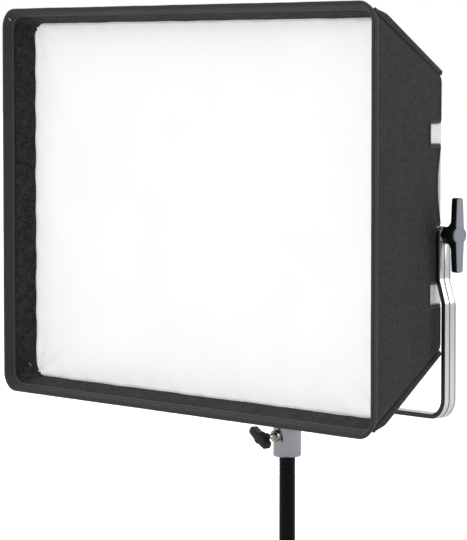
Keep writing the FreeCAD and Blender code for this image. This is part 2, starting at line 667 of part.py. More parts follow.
def handle_parts():
    """T handle on the right arm, as (body, cap, stud)."""
    root = ARM_OUT + WASHER_T
    outer = ARM_OUT + HANDLE_REACH
    bar_in = outer - HANDLE_BAR_T
    # plan axes (along the bar, across it, out of the arm) to (Z, Y, X)
    turn = FreeCAD.Matrix(0, 0, 1, 0, 0, 1, 0, 0, 1, 0, 0, PIVOT_Z, 0, 0, 0, 1)
    outline = wing_outline(HANDLE_HALF, HANDLE_HUB_R, HANDLE_ROOT_W, HANDLE_TIP_W)
    body = plate(outline, root, outer - CAP_T, turn)
    neck, f = HANDLE_HUB_R, HANDLE_FILLET
    reach = HANDLE_HALF + PAST
    near = root - PAST
    mid = f * (1 - math.sqrt(0.5))

    def point(x, z):
        return V(x, 0, PIVOT_Z + z)

    for way in (1, -1):
        corner = [Part.LineSegment(point(near, way * neck), point(bar_in - f, way * neck)).toShape(),
                  Part.Arc(point(bar_in - f, way * neck), point(bar_in - mid, way * (neck + mid)),
                           point(bar_in, way * (neck + f))).toShape(),
                  Part.LineSegment(point(bar_in, way * (neck + f)), point(bar_in, way * reach)).toShape(),
                  Part.LineSegment(point(bar_in, way * reach), point(near, way * reach)).toShape(),
                  Part.LineSegment(point(near, way * reach), point(near, way * neck)).toShape()]
        gap = Part.Face(Part.Wire(corner)).extrude(V(0, 4 * neck, 0))
        gap.translate(V(0, -2 * neck, 0))
        body = body.cut(gap)
    cap_face = wing_outline(HANDLE_HALF - CAP_INSET, HANDLE_HUB_R - CAP_INSET, HANDLE_ROOT_W - CAP_INSET,
                            HANDLE_TIP_W - CAP_INSET)
    cap = plate(cap_face, outer - CAP_T, outer, turn)
    grip = root + HANDLE_STUD_GRIP
    stud = cylinder((PANEL_W / 2 + STUD_END, 0, PIVOT_Z), (grip, 0, PIVOT_Z), TILT_STUD_R)
    body = body.cut(cylinder((near, 0, PIVOT_Z), (grip, 0, PIVOT_Z), TILT_STUD_R + FIT_GAP))
    return body, cap, stud


def tilt_joint():
    """Bosses on the panel, friction discs, washers and the two clamping handles."""
    side = PANEL_W / 2
    boss = disc(side, side + BOSS_LEN, BOSS_R, TILT_STUD_R + RUNNING_GAP)
    friction = disc(side + BOSS_LEN + FIT_GAP, ARM_IN, FRICTION_R, TILT_STUD_R + HOLE_GAP)
    washer = disc(ARM_OUT, ARM_OUT + WASHER_T - FACE_GAP, WASHER_R, TILT_STUD_R + HOLE_GAP)
    save("tilt_bosses", boss, mirrored(boss))
    save("friction_discs", friction, mirrored(friction))
    save("arm_washers", washer, mirrored(washer))
    body, cap, stud = handle_parts()
    for side_name, place in (("right", lambda s: s), ("left", mirrored)):
        save(f"tilt_handle_{side_name}", place(body))
        save(f"tilt_handle_cap_{side_name}", place(cap))
        save(f"tilt_stud_{side_name}", place(stud))


# ---------------------------------------------------------------- receiver and stand tube
def receiver():
    body = cylinder((0, 0, RECEIVER_Z), (0, 0, YOKE_Z), RECEIVER_R)
    rim = [e for e in body.Edges if abs(e.CenterOfMass.z - RECEIVER_Z) < 1e-6 and e.Length > RECEIVER_R]
    body = body.makeChamfer(RECEIVER_CHAMFER, rim)
    bore_end = RECEIVER_Z + RECEIVER_BORE_LEN
    hole_start = bore_end + BORE_FLOOR
    body = body.cut(cylinder((0, 0, RECEIVER_Z - PAST), (0, 0, bore_end), SPIGOT_R + RUNNING_GAP))
    body = body.cut(cylinder((0, 0, hole_start), (0, 0, YOKE_Z + PAST), BOLT_R + FIT_GAP))
    body = body.cut(cylinder((0, -RECEIVER_R - PAST, LOCK_Z), (0, 0, LOCK_Z), LOCK_STUD_R + RUNNING_GAP))
    save("spigot_receiver", body)
    seat = YOKE_Z + YOKE_T
    head_z = seat + BOLT_WASHER_T
    washer = cylinder((0, 0, seat), (0, 0, head_z), BOLT_WASHER_R).cut(
        cylinder((0, 0, seat - PAST), (0, 0, head_z + PAST), BOLT_R + FIT_GAP))
    save("yoke_bolt_washer", washer)
    head = cylinder((0, 0, head_z), (0, 0, head_z + BOLT_HEAD_H), BOLT_HEAD_R)
    socket_z = head_z + BOLT_HEAD_H - BOLT_SOCKET_D
    corners = [math.radians(60 * k) for k in range(7)]
    hexagon = [V(BOLT_SOCKET_R * math.cos(a), BOLT_SOCKET_R * math.sin(a), socket_z) for a in corners]
    drive = Part.Face(Part.makePolygon(hexagon)).extrude(V(0, 0, BOLT_SOCKET_D + PAST))
    shank = cylinder((0, 0, hole_start + PAST), (0, 0, head_z), BOLT_R)
    save("yoke_bolt", head.cut(drive).fuse(shank).removeSplitter())


def lock_screw():
    """Boss, brass insert, shoe and the winged screw that clamps the spigot."""
    barrel = cylinder((0, 0, RECEIVER_Z), (0, 0, YOKE_Z), RECEIVER_R)
    boss_end = -RECEIVER_R - LOCK_BOSS_LEN
    insert_end = boss_end - LOCK_INSERT_LEN
    hole = cylinder((0, insert_end - PAST, LOCK_Z), (0, 0, LOCK_Z), LOCK_STUD_R + RUNNING_GAP)
    boss = cylinder((0, boss_end, LOCK_Z), (0, -RECEIVER_R + LOCK_BOSS_LEN, LOCK_Z), LOCK_BOSS_R)
    boss = boss.cut(barrel).cut(hole)
    save("lock_boss", boss)
    save("lock_insert", cylinder((0, insert_end, LOCK_Z), (0, boss_end, LOCK_Z), LOCK_INSERT_R).cut(hole))
    tip = -SPIGOT_R - SHOE_GAP
    save("lock_shoe", cylinder((0, tip - SHOE_T, LOCK_Z), (0, tip, LOCK_Z), LOCK_STUD_R - FIT_GAP))
    neck_end = -LOCK_REACH + LOCK_BAR_T
    root = neck_end + LOCK_NECK_LEN
    save("lock_stud", cylinder((0, neck_end, LOCK_Z), (0, tip - SHOE_T - FIT_GAP, LOCK_Z), LOCK_STUD_R))
    outline = wing_outline(LOCK_BAR_HALF, LOCK_HUB_R, LOCK_ROOT_W, LOCK_TIP_W)
    # plan axes (along, across, out) to (X, Z, -Y), then turned about the screw
    turn = FreeCAD.Matrix(1, 0, 0, 0, 0, 0, -1, 0, 0, 1, 0, LOCK_Z, 0, 0, 0, 1)
    wing = plate(outline, -neck_end, LOCK_REACH, turn)
    neck = Part.makeCone(LOCK_NECK_R, LOCK_NECK_R * LOCK_NECK_TAPER, LOCK_NECK_LEN, V(0, neck_end, LOCK_Z),
                         V(0, 1, 0))
    wing = wing.fuse(neck).removeSplitter()
    wing.rotate(V(0, 0, LOCK_Z), V(0, 1, 0), LOCK_TURN)
    bore = cylinder((0, neck_end, LOCK_Z), (0, root + PAST, LOCK_Z), LOCK_STUD_R + FIT_GAP)
    save("lock_wing", wing.cut(bore))


def stand_tube():
    bore = POST_R - POST_WALL
    tube = cylinder((0, 0, 0), (0, 0, POST_LEN), POST_R).cut(
        cylinder((0, 0, -PAST), (0, 0, POST_LEN + PAST), bore))
    save("stand_tube", tube)
    save("stand_tube_plug", cylinder((0, 0, 0), (0, 0, PLUG_LEN), bore - FIT_GAP))
    root = cylinder((0, 0, POST_LEN - SPIGOT_ROOT), (0, 0, POST_LEN), bore - FIT_GAP)
    stud = cylinder((0, 0, POST_LEN), (0, 0, POST_LEN + SPIGOT_LEN), SPIGOT_R)
    rim = [e for e in stud.Edges if abs(e.CenterOfMass.z - POST_LEN - SPIGOT_LEN) < 1e-6
           and e.Length > SPIGOT_R]
    stud = stud.makeChamfer(SPIGOT_CHAMFER, rim)
    neck_z = LOCK_Z - SPIGOT_GROOVE_LEN / 2
    groove = cylinder((0, 0, neck_z), (0, 0, neck_z + SPIGOT_GROOVE_LEN), SPIGOT_R + PAST).cut(
        cylinder((0, 0, neck_z), (0, 0, neck_z + SPIGOT_GROOVE_LEN), SPIGOT_R - SPIGOT_GROOVE_D))
    save("spigot", root.fuse(stud.cut(groove)).removeSplitter())


softbox_walls()
front_hem()
loop_tapes()
diffuser()
corner_ribs()
rear_binding()
straps()
panel_shell()
back_cover()
light_engine()
control_pod()
dials()
buttons()
power_entry()
cover_screws()
yoke()
tilt_joint()
receiver()
lock_screw()
stand_tube()
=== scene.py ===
"""Studio softbox on a lighting panel and yoke, laid out as a Blender add-on.

The fixed frame holds the rigid parts. This file sews the softbox round it, finishes every surface and sets
the stage. Lengths are metres.
"""
import json
import math

import bmesh
import bpy
from bpy.props import FloatProperty, FloatVectorProperty, IntProperty, PointerProperty
from mathutils import Matrix, Vector, noise


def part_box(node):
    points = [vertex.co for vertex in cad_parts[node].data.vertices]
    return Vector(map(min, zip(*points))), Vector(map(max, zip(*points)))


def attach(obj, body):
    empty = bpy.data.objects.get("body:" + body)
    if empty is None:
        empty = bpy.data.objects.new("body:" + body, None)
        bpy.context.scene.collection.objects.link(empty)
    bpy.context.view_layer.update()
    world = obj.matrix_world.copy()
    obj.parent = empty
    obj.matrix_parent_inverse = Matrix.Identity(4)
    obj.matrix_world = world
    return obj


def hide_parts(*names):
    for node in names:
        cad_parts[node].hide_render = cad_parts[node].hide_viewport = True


bl_info = {
    "name": "Studio Softbox",
    "version": (1, 0, 0),
    "blender": (4, 5, 0),
    "location": "View3D > Sidebar > Softbox",
    "description": "Sews, finishes and lights a studio softbox on its panel and yoke",
    "category": "Object",
}

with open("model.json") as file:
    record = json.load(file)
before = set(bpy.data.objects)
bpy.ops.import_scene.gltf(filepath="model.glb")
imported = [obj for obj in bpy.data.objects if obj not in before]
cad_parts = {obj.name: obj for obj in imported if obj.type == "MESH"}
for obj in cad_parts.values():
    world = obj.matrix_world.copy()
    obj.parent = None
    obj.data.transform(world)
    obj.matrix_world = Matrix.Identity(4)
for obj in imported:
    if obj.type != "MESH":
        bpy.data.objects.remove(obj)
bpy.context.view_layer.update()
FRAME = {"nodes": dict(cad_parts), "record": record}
NODES = FRAME["nodes"]
SIDES = ("right", "top", "left", "bottom")

# places read from the frame
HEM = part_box("front_hem")
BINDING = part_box("rear_binding")
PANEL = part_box("panel_frame")
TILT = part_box("tilt_bosses")
FRONT_Y, HEM_Y = HEM[0].y, HEM[1].y
BINDING_Y, REAR_Y = BINDING[0].y, BINDING[1].y
CENTRE_Z = (PANEL[0].z + PANEL[1].z) / 2
TILT_Z = (TILT[0].z + TILT[1].z) / 2
FRONT_HALF = (HEM[1].x, HEM[1].z - CENTRE_Z)
BINDING_HALF = (BINDING[1].x, BINDING[1].z - CENTRE_Z)
DIFFUSER_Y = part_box("front_diffuser")[0].y
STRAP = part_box("strap_upper_right")
STRAP_LEVEL = (STRAP[0].z + STRAP[1].z) / 2 - CENTRE_Z
STRAP_SEWN = 0.015         # length of strap inside the wall
SLOT_Y = STRAP[0].y + STRAP_SEWN
SLOT_LOW, SLOT_HIGH = STRAP_LEVEL - 0.0135, STRAP_LEVEL + 0.0135
CLOTH = 0.0012             # thickness of the shell's fabric
HEM_T = 0.0066             # thickness of the folded hem
HEM_SEAM = 0.0100          # from the front edge to the hem's stitching
PILE_INSET = 0.0024        # loop tape, inside the wall's outer face
BORDER_W = 0.018           # width of the diffuser's border
FIN_FRONT, FIN_REAR = 0.0092, 0.0064   # height of a corner sleeve at its ends
ROD_R = 0.0014             # rod in a corner sleeve
SLACK_FROM = 0.055         # how far behind the diffuser a wall is fully slack
DIFFUSER_GAP, DIFFUSER_R = 0.0012, 0.016   # its gap to the walls and its corner radius
STRAP_LAP = 0.030          # how far a strap runs past the middle of the back
NOTCH_R = 0.0095           # opening of the wall round each tilt boss
TAPE_W = 0.0056            # width of the tape on the rear edge
FRONT_R, REAR_R = 0.026, 0.012


# ---------------------------------------------------------------- settings
def colour_setting(name, description, default):
    return FloatVectorProperty(name=name, description=description, subtype="COLOR", size=3,
                               default=default, min=0, max=1)


def length_setting(name, description, default, least, most):
    return FloatProperty(name=name, description=description, default=default, min=least, max=most,
                         subtype="DISTANCE", unit="LENGTH")


class FabricSettings(bpy.types.PropertyGroup):
    shell_colour: colour_setting("Shell", "Colour of the charcoal fabric", (0.030, 0.030, 0.031))
    binding_colour: colour_setting("Binding", "Colour of the hem and seam tapes", (0.037, 0.037, 0.039))
    diffuser_colour: colour_setting("Diffuser", "Colour of the white cloth", (0.91, 0.91, 0.915))
    wall_sag: length_setting("Wall sag", "How far a wall bows in between its seams", 0.0018, 0, 0.006)
    scallop: length_setting(
        "Rear scallop", "How far the rear edge draws forward between the straps", 0.0100, 0, 0.014)
    stitch_pitch: length_setting("Stitch pitch", "Distance between stitches", 0.0042, 0.002, 0.01)


class HardwareSettings(bpy.types.PropertyGroup):
    panel_colour: colour_setting("Panel paint", "Colour of the lighting panel", (0.70, 0.71, 0.72))
    handle_colour: colour_setting(
        "Handle caps", "Colour of the clamp handles' outer faces", (0.27, 0.29, 0.33))
    edge_radius: length_setting("Edge radius", "Rounding of moulded edges", 0.0008, 0.0001, 0.002)
    dial_ridges: IntProperty(
        name="Dial ridges", description="Grip ridges round each dial", default=36, min=12, max=60)


class StageSettings(bpy.types.PropertyGroup):
    azimuth: FloatProperty(
        name="Azimuth", description="Camera angle round the object, from the front",
        default=math.radians(50.28), subtype="ANGLE", unit="ROTATION")
    elevation: FloatProperty(
        name="Elevation", description="Camera angle above the horizon", default=math.radians(3.85),
        subtype="ANGLE", unit="ROTATION")
    distance: FloatProperty(
        name="Distance", description="Camera to the aim point", default=3.8, min=0.5, subtype="DISTANCE",
        unit="LENGTH")
    aim: FloatVectorProperty(
        name="Aim", description="Point that the camera looks at", subtype="TRANSLATION", size=3,
        default=(0.117, FRONT_Y, CENTRE_Z - 0.070), unit="LENGTH")
    lens: FloatProperty(
        name="Lens", description="Focal length in millimetres", default=204.4, min=10, unit="CAMERA")
    fill: FloatProperty(
        name="Fill", description="Brightness of the room's light on the object", default=0.72, min=0)
    floor_colour: colour_setting("Floor", "Colour of the floor", (0.93, 0.93, 0.93))


# ---------------------------------------------------------------- material helpers
def new_finish(name, colour, roughness, metallic=0.0, **sockets):
    """A material, its node tree and its shader."""
    material = bpy.data.materials.new(name)
    material.use_nodes = True
    tree = material.node_tree
    shader = tree.nodes["Principled BSDF"]
    shader.inputs["Base Color"].default_value = (*colour, 1)
    shader.inputs["Roughness"].default_value = roughness
    shader.inputs["Metallic"].default_value = metallic
    for socket, value in sockets.items():
        shader.inputs[socket.replace("_", " ")].default_value = value
    material.diffuse_color = (*colour, 1)
    return material, tree, shader


def add_node(tree, kind, inputs=(), **options):
    """A node with its options and inputs set. An input is a value or another node's socket."""
    made = tree.nodes.new("ShaderNode" + kind)
    for option, value in options.items():
        setattr(made, option, value)
    for socket, value in dict(inputs).items():
        if isinstance(value, bpy.types.NodeSocket):
            tree.links.new(value, made.inputs[socket])
        else:
            made.inputs[socket].default_value = value
    return made


def coordinates(tree, source="Object", scale=(1, 1, 1), turn=(0, 0, 0)):
    place = add_node(tree, "TexCoord")
    return add_node(tree, "Mapping", {"Vector": place.outputs[source], "Scale": scale,
                                      "Rotation": turn}).outputs["Vector"]


def speckle(tree, vector, scale, detail=3.0, roughness=0.6):
    made = add_node(tree, "TexNoise", {"Vector": vector, "Scale": scale, "Detail": detail,
                                       "Roughness": roughness})
    return made.outputs["Fac"]


def ribs(tree, vector, pitch, direction="X"):
    """Sine ridges with that pitch in metres."""
    made = add_node(tree, "TexWave", {"Vector": vector, "Scale": 0.314159 / pitch},
                    wave_type="BANDS", bands_direction=direction, wave_profile="SIN")
    return made.outputs["Fac"]


def reckon(tree, operation, a, b=0.0, c=0.0):
    return add_node(tree, "Math", {0: a, 1: b, 2: c}, operation=operation).outputs[0]


def stretch(tree, value, low, high, to_low, to_high):
    """Maps a value from one range to another, clamped."""
    made = add_node(tree, "MapRange", {"Value": value, "From Min": low, "From Max": high,
                                       "To Min": to_low, "To Max": to_high})
    return made.outputs["Result"]


def shades(tree, factor, dark, light):
    """Colour between two, by a factor."""
    made = add_node(tree, "Mix", data_type="RGBA")
    tree.links.new(factor, made.inputs["Factor"])
    made.inputs[6].default_value = (*dark, 1)
    made.inputs[7].default_value = (*light, 1)
    return made.outputs[2]


def two_tone(tree, shader, colour, factor, dark, light):
    """The colour, darker and lighter by a factor."""
    tree.links.new(shades(tree, factor, scaled(colour, dark), scaled(colour, light)),
                   shader.inputs["Base Color"])


def scaled(colour, share):
    return tuple(min(1.0, c * share) for c in colour)


def emboss(tree, shader, height, distance, strength=1.0):
    """Bump, on top of any bump that the shader already has."""
    bump = add_node(tree, "Bump", {"Height": height, "Distance": distance, "Strength": strength})
    before = shader.inputs["Normal"]
    if before.is_linked:
        tree.links.new(before.links[0].from_socket, bump.inputs["Normal"])
    tree.links.new(bump.outputs["Normal"], before)


def link(tree, value, shader, socket):
    tree.links.new(value, shader.inputs[socket])


# ---------------------------------------------------------------- finishes
def woven_finish(name, colour, pitch, mottle=0.6, bump=0.00022, sheen=0.05):
    """Plain weave on the piece's own UV map, which is in metres."""
    material, tree, shader = new_finish(name, colour, 0.86, Sheen_Weight=sheen, Sheen_Roughness=0.45,
                                        Specular_IOR_Level=0.22)
    uv = coordinates(tree, "UV")
    weave = reckon(tree, "MULTIPLY", ribs(tree, uv, pitch, "X"), ribs(tree, uv, pitch, "Y"))
    fibres = reckon(tree, "MULTIPLY_ADD", speckle(tree, uv, 150, 4, 0.75), 0.65,
                    reckon(tree, "MULTIPLY", speckle(tree, uv, 520, 3, 0.8), 0.35))
    cloudy = speckle(tree, coordinates(tree), 22, 3, 0.55)
    tone = reckon(tree, "MULTIPLY_ADD", weave, 0.12, reckon(tree, "MULTIPLY_ADD", fibres, 0.8,
                                                          reckon(tree, "MULTIPLY", cloudy, 0.2)))
    two_tone(tree, shader, colour, stretch(tree, tone, 0.42, 0.64, 0, 1), 1 - mottle, 1 + mottle)
    link(tree, stretch(tree, cloudy, 0.3, 0.7, 0.80, 0.93), shader, "Roughness")
    emboss(tree, shader, weave, bump)
    emboss(tree, shader, speckle(tree, coordinates(tree), 70, 4, 0.6), 0.0016, 0.6)
    return material


def ribbed_finish(name, colour, pitch, sheen=0.08, bump=0.00025):
    """Woven tape with ribs across it."""
    material, tree, shader = new_finish(name, colour, 0.8, Sheen_Weight=sheen, Sheen_Roughness=0.4,
                                        Specular_IOR_Level=0.25)
    uv = coordinates(tree, "UV")
    across = ribs(tree, uv, pitch, "Y")
    thread = ribs(tree, uv, pitch * 0.8, "X")
    height = reckon(tree, "MULTIPLY_ADD", thread, 0.35, across)
    grit = speckle(tree, uv, 700, 2, 0.7)
    tone = reckon(tree, "MULTIPLY_ADD", grit, 0.6, reckon(tree, "MULTIPLY", height, 0.35))
    two_tone(tree, shader, colour, stretch(tree, tone, 0.2, 0.8, 0, 1), 0.72, 1.28)
    emboss(tree, shader, height, bump)
    return material


def pile_finish(name, colour):
    """Hook-and-loop pile: dark, with loops painted lighter as highlights where they would catch the light.
    """
    material, tree, shader = new_finish(name, colour, 0.95, Sheen_Weight=0.08, Sheen_Roughness=0.6,
                                        Specular_IOR_Level=0.15)
    spot = coordinates(tree)
    loops = speckle(tree, spot, 420, 4, 0.75)
    tufts = speckle(tree, spot, 110, 3, 0.6)
    tone = reckon(tree, "MULTIPLY_ADD", loops, 0.7, reckon(tree, "MULTIPLY", tufts, 0.3))
    # painted highlight: the loops' colour rises up to 3.2 times the pile's, standing in for light on the
    # loops
    two_tone(tree, shader, colour, stretch(tree, tone, 0.42, 0.66, 0, 1), 0.5, 3.2)
    emboss(tree, shader, loops, 0.0012)
    emboss(tree, shader, tufts, 0.0012, 0.4)
    return material


def diffuser_finish(name, colour):
    """White translucent cloth with a fine weave and faint handling marks. It glows a little: painted light.
    """
    # painted light: the white emission makes the cloth glow and fills the shade towards its edges
    material, tree, shader = new_finish(name, colour, 0.7, Sheen_Weight=0.15, Emission_Strength=0.20)
    shader.inputs["Emission Color"].default_value = (1, 1, 1, 1)
    uv = coordinates(tree, "UV")
    weave = reckon(tree, "MULTIPLY", ribs(tree, uv, 0.0008, "X"), ribs(tree, uv, 0.0008, "Y"))
    marks = speckle(tree, coordinates(tree), 9, 4, 0.6)
    two_tone(tree, shader, colour, stretch(tree, marks, 0.3, 0.7, 0, 1), 0.955, 1.0)
    emboss(tree, shader, weave, 0.00008, 0.6)
    emboss(tree, shader, marks, 0.006, 0.35)
    return material


def webbing_finish(name, colour):
    """Flat strap: a herringbone of threads along the strap."""
    material, tree, shader = new_finish(name, colour, 0.62, Sheen_Weight=0.25)
    uv = coordinates(tree, "UV")
    slant = coordinates(tree, "UV", turn=(0, 0, math.radians(35)))
    twill = ribs(tree, slant, 0.0013, "X")
    cord = ribs(tree, uv, 0.0031, "X")
    height = reckon(tree, "MULTIPLY_ADD", twill, 0.6, cord)
    two_tone(tree, shader, colour, stretch(tree, height, 0.1, 1.4, 0, 1), 0.90, 1.05)
    emboss(tree, shader, height, 0.0002)
    return material


def brushed_finish(name, colour, along=(6, 900, 6), roughness=0.28, anisotropic=0.5, wear=0.08):
    """Drawn or brushed metal: streaks along two directions and fine across the third."""
    material, tree, shader = new_finish(name, colour, roughness, 1.0, Anisotropic=anisotropic)
    streaks = speckle(tree, coordinates(tree, "Object", along), 1.0, 4, 0.6)
    smears = speckle(tree, coordinates(tree), 30, 3, 0.5)
    two_tone(tree, shader, colour, streaks, 1 - wear, 1 + wear)
    rough = reckon(tree, "MULTIPLY_ADD", smears, 0.10, stretch(tree, streaks, 0.3, 0.7, roughness - 0.08,
                                                               roughness + 0.05))
    link(tree, rough, shader, "Roughness")
    emboss(tree, shader, streaks, 0.00005, 0.6)
    return material


def edged_finish(name, colour, black, middle, half_width):
    """Drawn bar: brushed faces between black edges, with painted shade in two grooves along it."""
    material = brushed_finish(name, colour, (7, 1100, 7), 0.30, 0.6)
    tree = material.node_tree
    shader = tree.nodes["Principled BSDF"]
    across = add_node(tree, "SeparateXYZ", {"Vector": coordinates(tree)}).outputs["Y"]
    off = reckon(tree, "ABSOLUTE", reckon(tree, "SUBTRACT", across, middle))
    dark = reckon(tree, "GREATER_THAN", off, half_width - 0.0011)
    # painted shade: the two grooves are coloured black like the edges, standing in for shade in the recesses
    for groove, reach in ((-0.0020, 0.00075), (0.0070, 0.00035)):
        dark = reckon(tree, "MAXIMUM", dark, reckon(tree, "COMPARE", across, groove, reach))
    tone = add_node(tree, "Mix", {"Factor": dark}, data_type="RGBA")
    tree.links.new(shader.inputs["Base Color"].links[0].from_socket, tone.inputs[6])
    tone.inputs[7].default_value = (*black, 1)
    link(tree, tone.outputs[2], shader, "Base Color")
    link(tree, reckon(tree, "MULTIPLY_ADD", dark, -1.0, 1.0), shader, "Metallic")
    return material


def painted_finish(name, colour, roughness=0.42, peel=0.00010, shine=0.5):
    """Powder or satin paint with a slight orange peel, rubbed in places."""
    material, tree, shader = new_finish(name, colour, roughness, 0.0, Coat_Weight=0.05, Coat_Roughness=0.35,
                                        Specular_IOR_Level=shine)
    spot = coordinates(tree)
    skin = speckle(tree, spot, 650, 2, 0.5)
    rubbed = speckle(tree, spot, 18, 4, 0.62)
    two_tone(tree, shader, colour, stretch(tree, rubbed, 0.35, 0.7, 0, 1), 0.95, 1.05)
    link(tree, stretch(tree, rubbed, 0.3, 0.75, roughness + 0.08, roughness - 0.08), shader, "Roughness")
    emboss(tree, shader, skin, peel)
    return material


def grained_finish(name, colour, roughness, height=0.00012, scale=1100, shine=0.5, metallic=0.0,
                   grain=(3, 0.65), polish=(45, 3, 0.6), share=0.55, tint=(0.85, 1.2), smoother=0.08,
                   strength=1.0):
    """Fine grain over patches of polish: moulded plastic or rubber, or bead-blasted metal."""
    material, tree, shader = new_finish(name, colour, roughness, metallic, Specular_IOR_Level=shine)
    spot = coordinates(tree)
    texture = speckle(tree, spot, scale, *grain)
    patches = speckle(tree, spot, *polish)
    tone = reckon(tree, "MULTIPLY_ADD", texture, share, reckon(tree, "MULTIPLY", patches, 1 - share))
    two_tone(tree, shader, colour, tone, *tint)
    link(tree, stretch(tree, patches, 0.3, 0.7, roughness - smoother, roughness + 0.08), shader, "Roughness")
    emboss(tree, shader, texture, height, strength)
    return material


def display_finish(name):
    """Dark polished window with rows of plain bars that glow a little."""
    lo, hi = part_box("display_window")
    material, tree, shader = new_finish(name, (0.006, 0.008, 0.012), 0.06, 0.0, Coat_Weight=0.6)
    place = add_node(tree, "Mapping", {"Vector": add_node(tree, "TexCoord").outputs["Object"],
                                       "Location": (-lo.x / (hi.x - lo.x), 0, -lo.z / (hi.z - lo.z)),
                                       "Scale": (1 / (hi.x - lo.x), 1, 1 / (hi.z - lo.z))}).outputs["Vector"]
    split = add_node(tree, "SeparateXYZ", {"Vector": place})
    across, up = split.outputs["X"], split.outputs["Z"]
    lit = None
    for row, reach in ((0.74, 0.82), (0.50, 0.55), (0.26, 0.68)):
        tall = reckon(tree, "COMPARE", up, row, 0.045)
        wide = reckon(tree, "COMPARE", across, 0.5, reach / 2)
        bar = reckon(tree, "MULTIPLY", tall, wide)
        lit = bar if lit is None else reckon(tree, "ADD", lit, bar)
    link(tree, shades(tree, lit, (0, 0, 0), (0.25, 0.55, 0.75)), shader, "Emission Color")
    shader.inputs["Emission Strength"].default_value = 0.5
    link(tree, stretch(tree, speckle(tree, coordinates(tree), 60, 3, 0.5), 0.3, 0.8, 0.04, 0.12),
         shader, "Roughness")
    return material


def thread_finish():
    """Grey sewing thread."""
    material, tree, shader = new_finish("sewing_thread", (0.16, 0.16, 0.165), 0.55, Sheen_Weight=0.1,
                                        Specular_IOR_Level=0.3)
    twist = speckle(tree, coordinates(tree), 2600, 2, 0.5)
    link(tree, shades(tree, twist, (0.10, 0.10, 0.105), (0.24, 0.24, 0.25)), shader, "Base Color")
    emboss(tree, shader, twist, 0.0001)
    return material


def make_finishes(fabric, hardware):
    """Every material, by the name of the record's slot that it dresses."""
    shell, binding = tuple(fabric.shell_colour), tuple(fabric.binding_colour)
    return {
        "shell_fabric": woven_finish("charcoal_shell_cloth", shell, 0.0011),
        "seam_fabric": ribbed_finish("seam_binding", binding, 0.0012),
        "loop_fabric": pile_finish("loop_pile", (0.016, 0.016, 0.017)),
        "diffuser_fabric": diffuser_finish("diffuser_cloth", tuple(fabric.diffuser_colour)),
        "webbing": webbing_finish("strap_webbing", (0.96, 0.96, 0.97)),
        "spring_steel": brushed_finish("spring_rod_steel", (0.55, 0.55, 0.56), (400, 12, 400), 0.35),
        "panel_paint": painted_finish("panel_paint", tuple(hardware.panel_colour)),
        "opal_plastic": grained_finish("opal_sheet", (0.90, 0.90, 0.88), 0.35, 0.00003),
        "circuit_board": grained_finish("white_solder_mask", (0.80, 0.81, 0.80), 0.4, 0.00004, 500),
        "emitter": grained_finish("emitter_phosphor", (0.88, 0.72, 0.22), 0.3, 0.00003),
        "bare_aluminium": brushed_finish("milled_aluminium", (0.76, 0.77, 0.78), (14, 14, 700), 0.34, 0.3),
        "pod_plastic": grained_finish("pod_shell", (0.060, 0.063, 0.068), 0.55, 0.00016, 800),
        "display": display_finish("display_glass"),
        "soft_black": grained_finish("soft_touch_rubber", (0.022, 0.022, 0.024), 0.72, 0.0001, 1500),
        "black_plastic": grained_finish("black_moulding", (0.008, 0.008, 0.009), 0.42, 0.00008, shine=0.3),
        "grey_plastic": grained_finish("grey_cap", tuple(hardware.handle_colour), 0.48, 0.00007),
        "yoke_aluminium": edged_finish("yoke_anodised", (0.72, 0.74, 0.77), (0.012, 0.012, 0.013), 0.0,
                                       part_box("yoke_bar")[1].y),
        "receiver_metal": grained_finish(
            "receiver_satin", (0.33, 0.34, 0.37), 0.22, 0.00006, 1400, metallic=1.0, grain=(2, 0.6),
            polish=(26, 3, 0.55), share=0.5, tint=(0.9, 1.1), smoother=0.06, strength=0.8),
        "plated_steel": brushed_finish("zinc_plate", (0.66, 0.66, 0.67), (60, 60, 60), 0.30, 0.2),
        "friction_pad": grained_finish("friction_fibre", (0.10, 0.09, 0.08), 0.85, 0.0003, 500),
        "brass": brushed_finish("turned_brass", (0.76, 0.60, 0.34), (500, 8, 500), 0.30, 0.3),
        "thread": thread_finish(),
        "tube_paint": painted_finish("tube_enamel", (0.003, 0.003, 0.0034), 0.30, 0.00005, 0.08),
    }


FINISHES = {}


# ---------------------------------------------------------------- mesh helpers
def piece(name, bm, body, slot, replaces=(), finish=None, sharp=math.radians(38)):
    """Turns a bmesh into a finished object that rides on a body."""
    for face in bm.faces:
        face.smooth = True
    for edge in bm.edges:
        if len(edge.link_faces) == 2 and edge.calc_face_angle(0) > sharp:
            edge.smooth = False
    mesh = bpy.data.meshes.new(name)
    bm.to_mesh(mesh)
    bm.free()
    made = bpy.data.objects.new(name, mesh)
    bpy.context.scene.collection.objects.link(made)
    mesh.materials.append(finish or FINISHES[slot])
    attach(made, body)
    if replaces:
        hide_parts(*replaces)
    return made


def shaped_grid(bm, across, along, place, size, closed=False, flat=None, keep=None):
    """Adds a grid whose points go where place(u, v) says, with its UV map in metres.

    flat(u, v) gives the UV where the piece isn't a rectangle. keep(u, v) says which faces stay.
    """
    layer = bm.loops.layers.uv.verify()
    made = bmesh.ops.create_grid(bm, x_segments=across, y_segments=along, size=0.5, calc_uvs=True)
    verts = made["verts"]
    faces = {face for vert in verts for face in vert.link_faces}
    spare = []
    for face in faces:
        middle = face.calc_center_median()
        if keep and not keep(middle.x + 0.5, middle.y + 0.5):
            spare.append(face)
        for loop in face.loops:
            u, v = loop.vert.co.x + 0.5, loop.vert.co.y + 0.5
            loop[layer].uv = flat(u, v) if flat else (u * size[0], v * size[1])
    for vert in verts:
        vert.co = place(vert.co.x + 0.5, vert.co.y + 0.5)
    if spare:
        bmesh.ops.delete(bm, geom=spare, context="FACES")
    if closed:
        bmesh.ops.remove_doubles(bm, verts=bm.verts, dist=1e-6)


